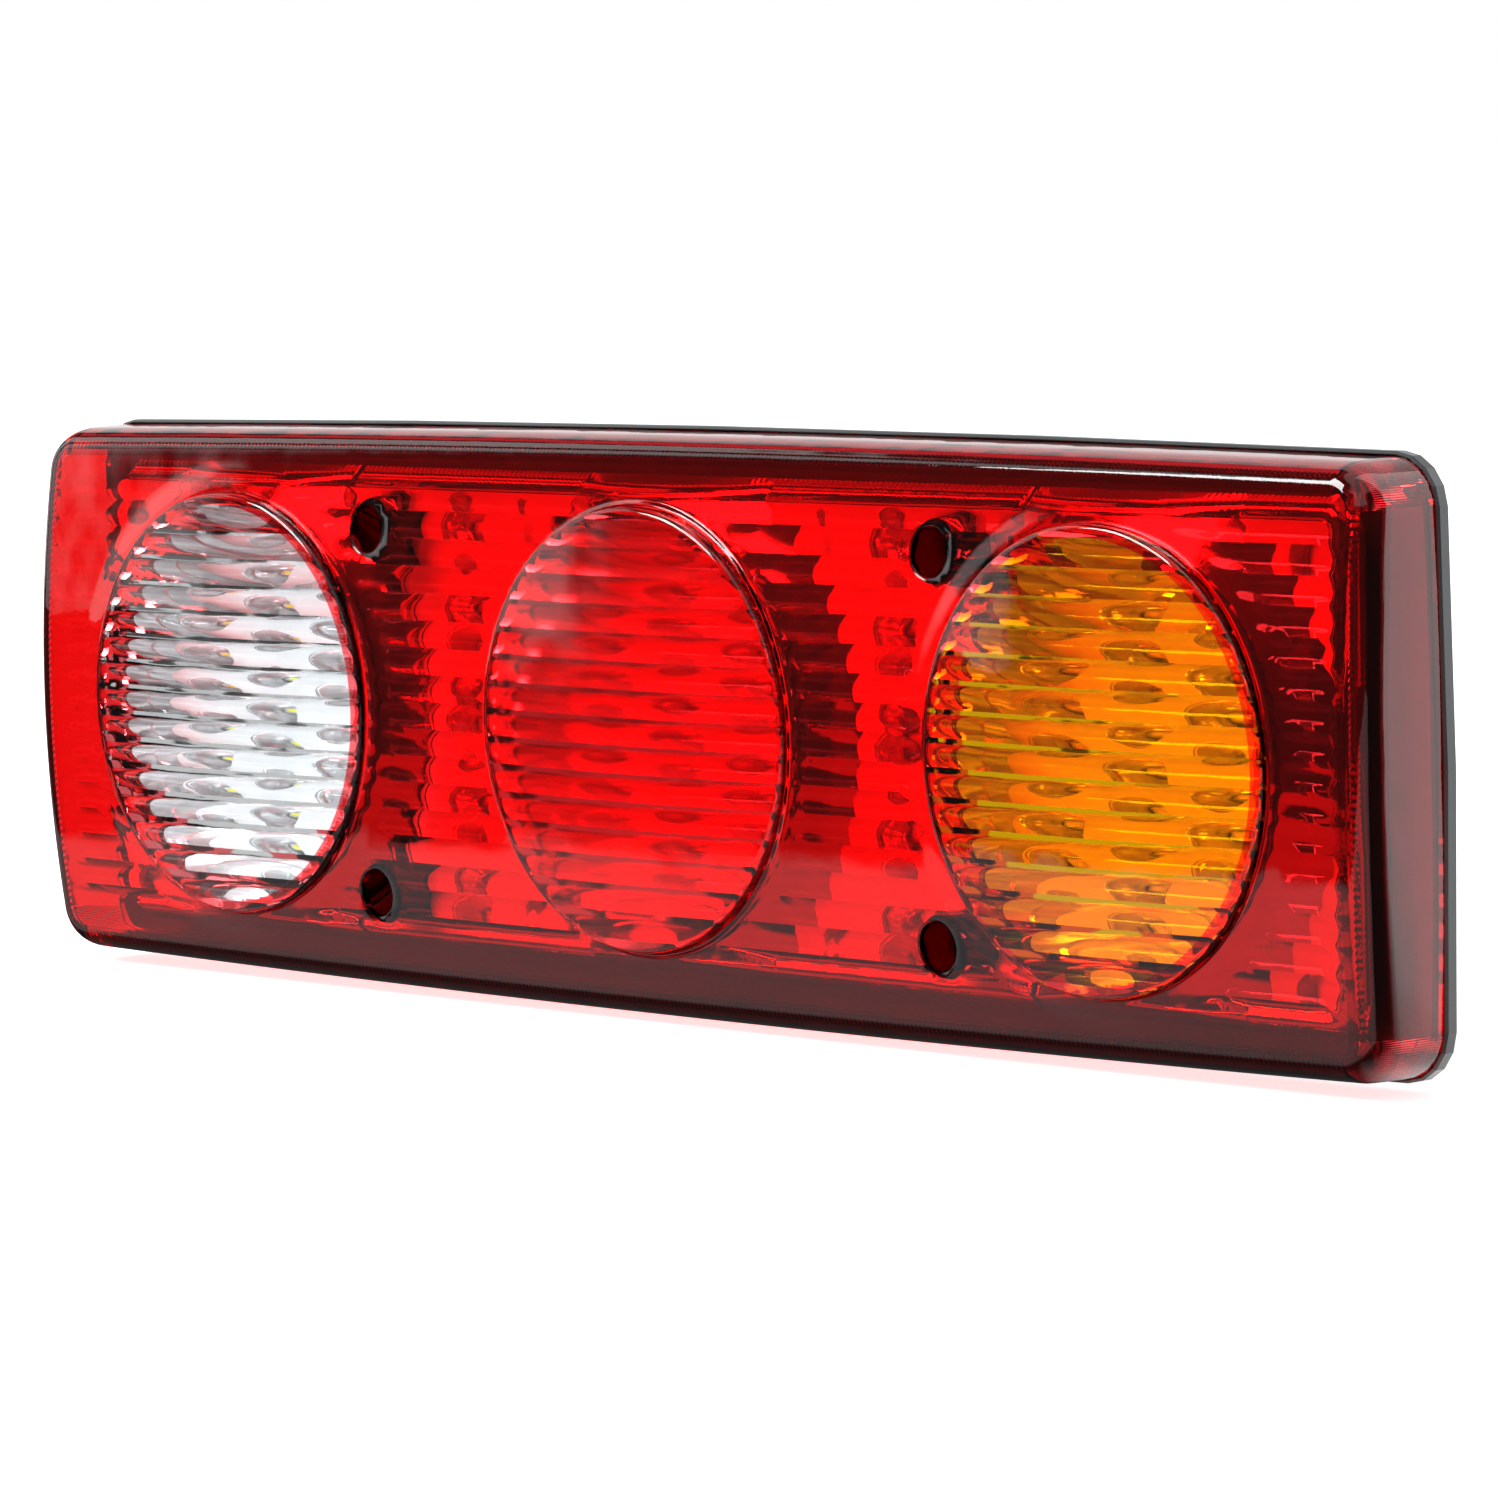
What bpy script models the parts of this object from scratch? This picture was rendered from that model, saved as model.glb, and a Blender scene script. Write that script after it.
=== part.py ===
"""Trailer rear lamp: three round optics in one red lens, on a black housing with two rear studs.

The lamp is modelled lying on its back: X runs along its length, Y up its height and Z out of
its face, with Z = 0 on the plane where it meets the vehicle. One empty then stands it up, so in
the world the face looks along -Y and +Z is up. All lengths are metres.
"""

import math

import bmesh
import bpy
import numpy as np
from mathutils import Matrix

# Outline of the housing flange, the largest outline of the lamp
LENGTH = 0.440
HEIGHT = 0.130
CORNER_RADIUS = 0.011
END_BOW = 0.0015
LONG_BOW = 0.0019
CORNER_STEPS = 4
LONG_STEPS = 4
SHORT_STEPS = 2

# Gap between pieces that touch, how far joined shapes or cutters run into or past each other, and
# how far a face is kept off the plane of another
GAP = 0.0003
BURY = 0.0005
PAST = 0.001
OFF_PLANE = 0.0001

# Depths, measured forward from the plane of the vehicle
TUB_BACK = 0.002
FLANGE_BACK = 0.014
FLANGE_FRONT = 0.0175
EDGE_FRONT = 0.037
FACE_CROWN = 0.005
FACE_TOP = EDGE_FRONT + FACE_CROWN

# Rear housing: a tapered tub behind the flange, with bosses, posts and stiffening ribs inside
FLANGE_EDGE = 0.0005
TUB_HALF_LENGTH = 0.190
TUB_HALF_HEIGHT = 0.055
TUB_CORNER = 0.016
TUB_TAPER = 0.0035
TUB_EDGE = 0.002
TUB_WALL = 0.0022
TUB_FLOOR = TUB_BACK + TUB_WALL
SEAT_PAD = (0.036, 0.014)
SEAT_PAD_X = 0.158
SEAT_PAD_Y = 0.037
STIFFENER = 0.002
STIFFENER_XS = (-0.128, -0.040, 0.040, 0.128)
STIFFENER_LENGTH = 0.104
STIFFENER_TOP = 0.010
SPINE_Y = 0.030
SPINE_LENGTH = 0.300
SPINE_TOP = 0.009
OUTLET_X = 0.0
OUTLET_Y = -0.026
OUTLET_BORE = 0.0035
OUTLET_HOLE = 0.0068
OUTLET_BOSS = 0.0115
OUTLET_BOSS_TOP = 0.008
BREATHER_X = 0.118
BREATHER_Y = -0.030
BREATHER_HOLE = 0.0031
GROOVE_OUTER = 0.0007
GROOVE_INNER = 0.0041
GROOVE_DEPTH = 0.002

# Lens
LENS_WALL = 0.0026
LENS_STEP = 0.0010
LENS_DRAFT = math.radians(1.5)
EDGE_ROUNDING = 0.005

# Optics: one round dome over each chamber, held behind a collar of the lens
DOME_SPACING = 0.144
DOME_RADIUS = 0.050
DOME_RIM = FACE_TOP + 0.0015
DOME_APEX = DOME_RIM + 0.0035
DOME_WALL = 0.0024
DOME_FLANGE = 0.053
DOME_FLANGE_DEPTH = 0.0022
DOME_HOLLOW = DOME_RADIUS - 0.003
COLLAR_RADIUS = 0.0545
COLLAR_FOOT = 0.0580
COLLAR_FRONT = FACE_TOP + 0.0005
COLLAR_WALL = 0.0024
COLLAR_LEDGE = DOME_FLANGE + 2 * GAP
RIB_COUNT = 15
RIB_HEIGHT = 0.0014
RIB_STEPS = 3
RIB_COLUMNS = 4

# Reflectors: each a tray with a conical bowl and one cup for each diode
REFLECTOR_FACE = DOME_RIM - 0.0155
PLATE = 0.0012
BOWL_BASE = 0.038
BOWL_CREST = 0.045
BOWL_DEPTH = 0.0078
BOWL_WALL = 0.0012
CREST_WIDTH = 0.0016
STEP_RADII = (0.0407, 0.0417)
STEP_RISE = 0.0038
FIELD_CUT = 0.0554
CUP_FLOOR = REFLECTOR_FACE - 0.0076
CUP_MOUTH = 0.0095
CUP_BASE = 0.0044
CUP_WALL = 0.0009
CUP_RING = 0.028
CUP_SIDES = 6
TRAY_HALF_LENGTH = 0.199
TRAY_HALF_HEIGHT = 0.055
TRAY_CORNER = 0.010
RIM_RISE = 0.005
RIM_FLARE = 0.0035
RIM_FOOT = 0.003
TRAY_SPLIT = 0.125
TRAY_SPLIT_GAP = 0.005
TAIL_COLUMN = 0.072
TAIL_PITCH = 0.0216
FOOT_RADIUS = 0.0034

# Boards and diodes
BOARD = 0.0016
BOARD_FRONT = CUP_FLOOR - 0.0004
BOARD_BACK = BOARD_FRONT - BOARD
SIDE_BOARD = (0.102, 0.198, 0.050)
STOP_BOARD = (0.086, 0.052)
DIODE = 0.005
DIODE_HEIGHT = 0.0015
LEAD_RADIUS = 0.0011
LEAD_DIP = 0.0045
LEAD_ENDS = (0.081, 0.107)

# Lens screws, each sunk in a well of the lens, and the screws that hold reflector and board
LENS_SCREW_X = 0.094
LENS_SCREW_Y = 0.0425
WELL_RADIUS = 0.0055
WELL_WALL = 0.0016
WELL_FLOOR = FACE_TOP - 0.0180
WELL_HEAD_TOP = FACE_TOP - 0.0035
WELL_HEAD_DEPTH = 0.003
WELL_TUBE = 0.0048
LENS_SCREW_BORE = 0.0023
LENS_POST = 0.0055
REFLECTOR_RELIEF = WELL_RADIUS + WELL_WALL + 2 * GAP
BOARD_POST = 0.0036
BOARD_POST_BORE = 0.0016
BOARD_SCREW_HOLE = 0.0017
SIDE_SCREW = (0.193, 0.044)
STOP_SCREW = (0.050, 0.047)
LENS_SCREW_HEAD = (0.0040, 0.0027)
LENS_SCREW_SHANK = 0.0020
LENS_SCREW_TIP = TUB_FLOOR + 0.0025
BOARD_SCREW_HEAD = (0.0027, 0.0018)
BOARD_SCREW_SHANK = 0.0013
BOARD_SCREW_TIP = FLANGE_FRONT - 0.0023
SEAL_RADIUS = 0.0050
SEAL_BORE = 0.0024
SEAL_HEIGHT = 0.001

# Mounting studs: M8, 152 mm apart, on bosses of the housing
STUD_SPACING = 0.152
STUD_RADIUS = 0.004
STUD_LENGTH = 0.030
STUD_HOLE = STUD_RADIUS + GAP
STUD_BOSS = 0.0135
STUD_BOSS_FACE = 0.0005
STUD_BOSS_TOP = 0.0105
STUD_POCKET = 0.0078
STUD_POCKET_FLOOR = 0.0046
HEXAGON = 0.0075
BOLT_HEAD_HEIGHT = 0.0053
NUT_HEIGHT = 0.0065
FLAT_WASHER = (0.0080, 0.0016)
SPRING_WASHER = (0.0066, 0.0020)
SPRING_SLIT = (0.006, 0.0008)

# Grommet and breather plug
LIP = 0.0015
GROMMET_FLANGE = 0.0095
GROMMET_FLANGE_BACK = 0.0002
NOSE_ROOT = (0.0063, -0.0010)
NOSE_TIP = (0.0052, -0.008)
BREATHER_TOP = TUB_FLOOR + 0.0020
BREATHER_BARB = (0.0004, 0.0007)
BREATHER_HEAD = (0.0046, 0.0042)

# Sides of round shapes
ROUND = 24
BOWL_ROUND = 20
FASTENER_ROUND = 12
SMALL_ROUND = 10
POST_ROUND = 8
HEX = 6


def clear_scene():
    for item in list(bpy.data.objects):
        bpy.data.objects.remove(item, do_unlink=True)


clear_scene()

parts = bpy.data.collections.new("trailer_tail_light")
cutters = bpy.data.collections.new("cutters")
bpy.context.scene.collection.children.link(parts)
bpy.context.scene.collection.children.link(cutters)

# The empty that stands the lamp up: its X stays, its Y becomes world Z and its Z world -Y
stand = bpy.data.objects.new("lamp_stand", None)
stand.rotation_euler = (math.radians(90), 0, 0)
parts.objects.link(stand)


def material(name, colour, roughness, metallic=0.0, transmission=0.0):
    made = bpy.data.materials.new(name)
    made.use_nodes = True
    shader = made.node_tree.nodes["Principled BSDF"]
    shader.inputs["Base Color"].default_value = (*colour, 1)
    shader.inputs["Roughness"].default_value = roughness
    shader.inputs["Metallic"].default_value = metallic
    shader.inputs["Transmission Weight"].default_value = transmission
    return made


BLACK_ABS = material("black_abs", (0.015, 0.015, 0.017), 0.45)
RED_PMMA = material("red_pmma", (0.80, 0.005, 0.008), 0.06, transmission=0.9)
CLEAR_PMMA = material("clear_pmma", (0.95, 0.96, 0.97), 0.04, transmission=0.95)
AMBER_PMMA = material("amber_pmma", (0.95, 0.30, 0.008), 0.05, transmission=0.9)
EPDM = material("epdm_rubber", (0.02, 0.02, 0.02), 0.8)
METALLISED = material("metallised_abs", (0.82, 0.83, 0.84), 0.12, metallic=1.0)
BOARD_LAMINATE = material("board_laminate", (0.75, 0.76, 0.74), 0.5)
ZINC_STEEL = material("zinc_plated_steel", (0.55, 0.56, 0.58), 0.3, metallic=1.0)
BLACK_STEEL = material("black_oxide_steel", (0.04, 0.04, 0.045), 0.35, metallic=1.0)
WIRE_PVC = material("wire_pvc", (0.03, 0.03, 0.03), 0.5)


def add(name, mesh, finish, where=(0, 0, 0)):
    """Makes an object of a mesh, under the empty. With no finish it is a helper for a Boolean."""
    made = bpy.data.objects.new(name, mesh)
    made.location = where
    made.parent = stand
    if finish is None:
        cutters.objects.link(made)
        made.hide_render = True
        made.display_type = "WIRE"
    else:
        parts.objects.link(made)
        mesh.materials.append(finish)
        mesh.shade_smooth()
        mesh.set_sharp_from_angle(angle=math.radians(30))
    return made


def combine(target, tool, operation="DIFFERENCE"):
    """Adds a Boolean of the tool to the target, and gives the tool back."""
    step = target.modifiers.new(f"{operation.lower()} {tool.name}", "BOOLEAN")
    step.operation = operation
    step.object = tool
    return tool


def to_mesh(name, work):
    bmesh.ops.recalc_face_normals(work, faces=work.faces)
    mesh = bpy.data.meshes.new(name)
    work.to_mesh(mesh)
    work.free()
    return mesh


def outline(half_x, half_y, radius, long_steps=LONG_STEPS, short_steps=SHORT_STEPS):
    """Points of a rounded rectangle whose sides bow outwards by END_BOW and LONG_BOW."""
    points = []
    for sign_x, sign_y, start, steps in (
        (1, -1, -90, short_steps),
        (1, 1, 0, long_steps),
        (-1, 1, 90, short_steps),
        (-1, -1, 180, long_steps),
    ):
        centre = np.array([sign_x * (half_x - radius), sign_y * (half_y - radius)])
        turn = np.radians(start + np.linspace(0, 90, CORNER_STEPS + 1))
        points += list(centre + radius * np.column_stack([np.cos(turn), np.sin(turn)]))
        if sign_x != sign_y:
            end = np.array([sign_x * half_x, -sign_y * (half_y - radius)])
        else:
            end = np.array([-sign_x * (half_x - radius), sign_y * half_y])
        share = np.linspace(0, 1, steps + 1)[1:-1, None]
        points += list(points[-1] + share * (end - points[-1]))
    points = np.array(points)
    x, y = points.T
    bowed_x = x + np.sign(x) * END_BOW * (x / half_x) ** 2 * (1 - (y / half_y) ** 2)
    bowed_y = y + np.sign(y) * LONG_BOW * (y / half_y) ** 2 * (1 - (x / half_x) ** 2)
    return np.column_stack([bowed_x, bowed_y])


def inset_outline(inset):
    """The lamp's outline moved inwards by inset."""
    smallest_corner = 0.002
    radius = max(CORNER_RADIUS - inset, smallest_corner)
    return outline(LENGTH / 2 - inset, HEIGHT / 2 - inset, radius)


def face_height(y):
    """The crowned face: a parabola across the height, highest along the middle."""
    return EDGE_FRONT + FACE_CROWN * (1 - (y / (HEIGHT / 2)) ** 2)


def ring_of(points, height):
    return np.column_stack([points, np.broadcast_to(height, len(points))])


def skin(work, rings, closed=False):
    """Faces between rings of equally many points, in order; closed joins the last to the first."""
    rows = [[work.verts.new(point) for point in ring] for ring in rings]
    if closed:
        rows.append(rows[0])
    for low, high in zip(rows[:-1], rows[1:]):
        for index in range(len(low)):
            after = (index + 1) % len(low)
            work.faces.new([low[index], low[after], high[after], high[index]])
    return rows


def loft(name, rings, cap_first=True, cap_last=True, closed=False):
    """A skin over rings of points, with a cap on each end unless it is closed on itself."""
    work = bmesh.new()
    rows = skin(work, rings, closed)
    if cap_first and not closed:
        work.faces.new(reversed(rows[0]))
    if cap_last and not closed:
        work.faces.new(rows[-1])
    return to_mesh(name, work)


def band(name, outer_inset, inner_inset, low, high):
    """A closed strip of rectangular section that follows the lamp's outline."""
    outer, inner = inset_outline(outer_inset), inset_outline(inner_inset)
    rings = [ring_of(outer, low), ring_of(outer, high), ring_of(inner, high), ring_of(inner, low)]
    return loft(name, rings, closed=True)


def rods(name, places, radius, low, high, segments=SMALL_ROUND, top_radius=None):
    """Equal cylinders in one mesh, one at each (x, y), or cones where the top radius differs."""
    work = bmesh.new()
    for x, y in places:
        place = Matrix.Translation((x, y, (low + high) / 2))
        bmesh.ops.create_cone(
            work,
            cap_ends=True,
            segments=segments,
            radius1=radius,
            radius2=top_radius or radius,
            depth=high - low,
            matrix=place,
        )
    return to_mesh(name, work)


def blocks(name, places, size, low, high):
    """Equal boxes in one mesh, one at each (x, y)."""
    work = bmesh.new()
    for x, y in places:
        place = Matrix.Translation((x, y, (low + high) / 2))
        bmesh.ops.create_cube(work, size=1, matrix=place @ Matrix.Diagonal((*size, high - low, 1)))
    return to_mesh(name, work)


def cups(name, places, profile):
    """Closed cups with flat sides, one at each (x, y), from (radius, height) going up."""
    work = bmesh.new()
    turns = 2 * np.pi * np.arange(CUP_SIDES) / CUP_SIDES
    circle = np.column_stack([np.cos(turns), np.sin(turns)])
    for place in places:
        rows = skin(work, [ring_of(circle * radius + place, height) for radius, height in profile])
        work.faces.new(reversed(rows[0]))
        work.faces.new(rows[-1])
    return to_mesh(name, work)


def turned(name, profile, finish, where, steps=ROUND):
    """A profile of (radius, height) points, run down its outer side, turned about Z."""
    mesh = bpy.data.meshes.new(name)
    points = [(radius, 0, height) for radius, height in profile]
    edges = [(index, index + 1) for index in range(len(points) - 1)]
    if profile[0][0] > 0:
        edges.append((len(points) - 1, 0))
    mesh.from_pydata(points, edges, [])
    made = add(name, mesh, finish, where)
    screw = made.modifiers.new("turn", "SCREW")
    screw.steps = steps
    screw.render_steps = steps
    screw.use_merge_vertices = True
    screw.merge_threshold = 0.00001
    screw.use_smooth_shade = True
    return made


def mirrored(x, y):
    """The point in all four quadrants, left to right and top to bottom."""
    return [(side * x, rise * y) for side in (-1, 1) for rise in (1, -1)]


def cup_places(x):
    """A middle place and six round it, in columns of two, three and two, about the chamber at x."""
    turns = np.radians(30 + 60 * np.arange(6))
    ring = [(x + CUP_RING * math.cos(turn), CUP_RING * math.sin(turn)) for turn in turns]
    return [(x, 0), *ring]


CHAMBERS = {"reverse": -DOME_SPACING, "stop": 0.0, "indicator": DOME_SPACING}
TAIL_PLACES = [(side * TAIL_COLUMN, row * TAIL_PITCH) for side in (-1, 1) for row in range(-2, 3)]
LENS_SCREWS = mirrored(LENS_SCREW_X, LENS_SCREW_Y)
BOARD_SCREWS = {
    "reverse": mirrored(*SIDE_SCREW)[:2],
    "stop": mirrored(*STOP_SCREW),
    "indicator": mirrored(*SIDE_SCREW)[2:],
}
STUDS = [(-STUD_SPACING / 2, 0), (STUD_SPACING / 2, 0)]
OUTLET = [(OUTLET_X, OUTLET_Y)]
BREATHER = [(BREATHER_X, BREATHER_Y)]


def make_housing():
    """The black rear moulding: a flange with a gasket groove, and a tub behind it."""
    rim = inset_outline(0)
    rim_edge = inset_outline(FLANGE_EDGE)
    flange_rings = [
        ring_of(rim_edge, FLANGE_BACK),
        ring_of(rim, FLANGE_BACK + FLANGE_EDGE),
        ring_of(rim, FLANGE_FRONT - FLANGE_EDGE),
        ring_of(rim_edge, FLANGE_FRONT),
    ]
    housing = add("rear_housing", loft("rear_housing", flange_rings), BLACK_ABS)

    def join(mesh, operation="UNION"):
        combine(housing, add(mesh.name, mesh, None), operation)

    def tub_rings(shrink, low, high):
        def section(inset):
            half_x = TUB_HALF_LENGTH - shrink - inset
            half_y = TUB_HALF_HEIGHT - shrink - inset
            radius = TUB_CORNER - shrink - max(0, inset - TUB_TAPER) * 1.5
            return outline(half_x, half_y, radius, 2, 2)

        return [
            ring_of(section(TUB_TAPER + TUB_EDGE), low),
            ring_of(section(TUB_TAPER), low + TUB_EDGE),
            ring_of(section(0), high),
        ]

    join(loft("tub_form", tub_rings(0, TUB_BACK, FLANGE_BACK + PAST)))
    join(loft("tub_cavity", tub_rings(TUB_WALL, TUB_FLOOR, FLANGE_FRONT + PAST)), "DIFFERENCE")

    root = TUB_FLOOR - BURY
    stiffeners = [(x, 0) for x in STIFFENER_XS]
    join(blocks("housing_ribs", stiffeners, (STIFFENER, STIFFENER_LENGTH), root, STIFFENER_TOP))
    join(blocks("housing_spine", [(0, SPINE_Y)], (SPINE_LENGTH, STIFFENER), root, SPINE_TOP))
    join(blocks("seat_pads", mirrored(SEAT_PAD_X, SEAT_PAD_Y), SEAT_PAD, 0, TUB_BACK + PAST))
    join(rods("lens_posts", LENS_SCREWS, LENS_POST, root, FLANGE_FRONT - GAP))
    join(rods("outlet_boss", OUTLET, OUTLET_BOSS, TUB_BACK + BURY, OUTLET_BOSS_TOP))
    join(rods("stud_bosses", STUDS, STUD_BOSS, STUD_BOSS_FACE, STUD_BOSS_TOP, FASTENER_ROUND))
    post_top = BOARD_BACK - GAP
    side_posts = BOARD_SCREWS["reverse"] + BOARD_SCREWS["indicator"]
    side_root = FLANGE_FRONT - BURY - GROOVE_DEPTH
    join(rods("stop_board_posts", BOARD_SCREWS["stop"], BOARD_POST, root, post_top, POST_ROUND))
    join(rods("side_board_posts", side_posts, BOARD_POST, side_root, post_top, POST_ROUND))

    groove_low, past_front = FLANGE_FRONT - GROOVE_DEPTH, FLANGE_FRONT + PAST
    join(band("gasket_groove", GROOVE_OUTER, GROOVE_INNER, groove_low, past_front), "DIFFERENCE")
    bore_low = TUB_FLOOR + 2 * PAST
    join(rods("lens_post_bores", LENS_SCREWS, LENS_SCREW_BORE, bore_low, past_front), "DIFFERENCE")
    post_low = bore_low + 2 * PAST
    posts = side_posts + BOARD_SCREWS["stop"]
    board_bores = rods("board_post_bores", posts, BOARD_POST_BORE, post_low, BOARD_FRONT, HEX)
    join(board_bores, "DIFFERENCE")
    past_back = -PAST
    join(rods("stud_holes", STUDS, STUD_HOLE, past_back, past_front, FASTENER_ROUND), "DIFFERENCE")
    join(rods("stud_pockets", STUDS, STUD_POCKET, STUD_POCKET_FLOOR, past_front, HEX), "DIFFERENCE")
    outlet = rods("outlet_hole", OUTLET, OUTLET_HOLE, past_back, past_front, FASTENER_ROUND)
    join(outlet, "DIFFERENCE")
    join(rods("breather_hole", BREATHER, BREATHER_HOLE, past_back, past_front), "DIFFERENCE")


def make_gasket():
    """A flat seal that fills the flange's groove, with a gap on every side."""
    low, high = FLANGE_FRONT - GROOVE_DEPTH + GAP, FLANGE_FRONT - GAP
    add("lens_gasket", band("lens_gasket", GROOVE_OUTER + GAP, GROOVE_INNER - GAP, low, high), EPDM)


def make_outer_lens():
    """The red one-piece shell, with a crowned face, rounded edges, three collars and four wells."""
    skirt = EDGE_FRONT - EDGE_ROUNDING - FLANGE_FRONT
    base = LENS_STEP + skirt * math.tan(LENS_DRAFT)
    rings = [ring_of(inset_outline(LENS_STEP), FLANGE_FRONT)]
    for turn in np.radians([0, 45, 90]):
        points = inset_outline(base + EDGE_ROUNDING * (1 - math.cos(turn)))
        drop = EDGE_ROUNDING * (1 - math.sin(turn))
        rings.append(ring_of(points, face_height(points[:, 1]) - drop))
    for share in (0.45, 0.9):
        points = inset_outline(share * HEIGHT / 2)
        rings.append(ring_of(points, face_height(points[:, 1])))
    lens = add("outer_lens", loft("outer_lens", rings, cap_first=False), RED_PMMA)
    wall = lens.modifiers.new("wall", "SOLIDIFY")
    wall.thickness = LENS_WALL
    wall.offset = -1
    wall.use_even_offset = True

    def join(operation, name, places, radius, low, high, segments):
        tool = add(name, rods(name, places, radius, low, high, segments), None)
        combine(lens, tool, operation)

    centres = [(x, 0) for x in CHAMBERS.values()]
    clear = DOME_APEX + PAST
    collar_back = EDGE_FRONT - BURY
    ledge = COLLAR_FRONT - COLLAR_WALL
    collars = rods("collars", centres, COLLAR_FOOT, collar_back, COLLAR_FRONT, ROUND, COLLAR_RADIUS)
    combine(lens, add("collars", collars, None), "UNION")
    join("DIFFERENCE", "collar_ledges", centres, COLLAR_LEDGE, FLANGE_FRONT, ledge, ROUND)
    join("DIFFERENCE", "dome_seats", centres, DOME_RADIUS + GAP, FLANGE_FRONT, clear, ROUND)

    head = WELL_RADIUS + WELL_WALL
    head_low = WELL_FLOOR - WELL_HEAD_DEPTH
    join("UNION", "well_heads", LENS_SCREWS, head, head_low, WELL_HEAD_TOP, SMALL_ROUND)
    tube_low = FLANGE_FRONT + GAP
    join("UNION", "well_tubes", LENS_SCREWS, WELL_TUBE, tube_low, WELL_FLOOR, POST_ROUND)
    join("DIFFERENCE", "wells", LENS_SCREWS, WELL_RADIUS, WELL_FLOOR, clear, SMALL_ROUND)
    join("DIFFERENCE", "lens_bores", LENS_SCREWS, LENS_SCREW_BORE, FLANGE_BACK, clear, POST_ROUND)


def ribbed_cavity(name):
    """The hollow behind a dome: its front follows the crown, scalloped by ribs that run along X."""
    margin = 1.02
    reach = DOME_HOLLOW * margin
    rise = DOME_APEX - DOME_RIM
    xs = np.linspace(-reach, reach, RIB_COLUMNS)
    rib = np.linspace(0, 1, RIB_STEPS + 1)[:-1]
    along = np.append((np.arange(RIB_COUNT)[:, None] + rib).ravel(), RIB_COUNT)
    swell = RIB_HEIGHT * np.sin(np.pi * (along % 1))
    grid_x, grid_y = np.meshgrid(xs, (along / RIB_COUNT * 2 - 1) * reach)
    crown = DOME_APEX - DOME_WALL - rise * (grid_x**2 + grid_y**2) / DOME_RADIUS**2
    heights = crown - swell[:, None]
    work = bmesh.new()
    rows = [[work.verts.new(point) for point in zip(*row)] for row in zip(grid_x, grid_y, heights)]
    for low, high in zip(rows[:-1], rows[1:]):
        for column in range(RIB_COLUMNS - 1):
            work.faces.new([low[column], low[column + 1], high[column + 1], high[column]])
    walls = bmesh.ops.extrude_edge_only(work, edges=[edge for edge in work.edges if edge.is_boundary])
    foot = [item for item in walls["geom"] if isinstance(item, bmesh.types.BMVert)]
    for vertex in foot:
        vertex.co.z = FLANGE_FRONT + BOWL_DEPTH
    bmesh.ops.holes_fill(work, edges=[edge for edge in work.edges if edge.is_boundary], sides=0)
    return to_mesh(name, work)


def make_dome(name, finish, x):
    """One round optic: smooth and crowned outside, ribbed inside, with a flange behind the collar."""
    rise = DOME_APEX - DOME_RIM
    crown = [(share * DOME_RADIUS, DOME_APEX - rise * share**2) for share in (0, 0.33, 0.66, 0.985)]
    ledge = COLLAR_FRONT - COLLAR_WALL - GAP
    back = ledge - DOME_FLANGE_DEPTH
    profile = [
        *crown,
        (DOME_RADIUS, DOME_RIM - BURY),
        (DOME_RADIUS, ledge),
        (DOME_FLANGE, ledge),
        (DOME_FLANGE, back),
        (0, back),
    ]
    where = (x, 0, 0)
    dome = turned(name, profile, finish, where)
    hollow = add(f"{name}_hollow", ribbed_cavity(f"{name}_hollow"), None, where)
    limit = rods(f"{name}_limit", [(0, 0)], DOME_HOLLOW, FLANGE_FRONT, DOME_APEX, ROUND)
    combine(hollow, add(limit.name, limit, None, where), "INTERSECT")
    combine(dome, hollow)


def tray_rim(name):
    """A wall round the three trays that leans outwards from a narrow foot."""
    low, high = REFLECTOR_FACE - PLATE + OFF_PLANE, REFLECTOR_FACE - OFF_PLANE
    top = REFLECTOR_FACE + RIM_RISE
    section = [
        (0, low),
        (-RIM_FLARE, top),
        (PLATE - RIM_FLARE, top),
        (PLATE, high),
        (RIM_FOOT, high),
        (RIM_FOOT, low),
    ]
    rings = []
    for inset, height in section:
        half_x, half_y = TRAY_HALF_LENGTH - inset, TRAY_HALF_HEIGHT - inset
        rings.append(ring_of(outline(half_x, half_y, TRAY_CORNER - inset), height))
    return loft(name, rings, closed=True)


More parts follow.
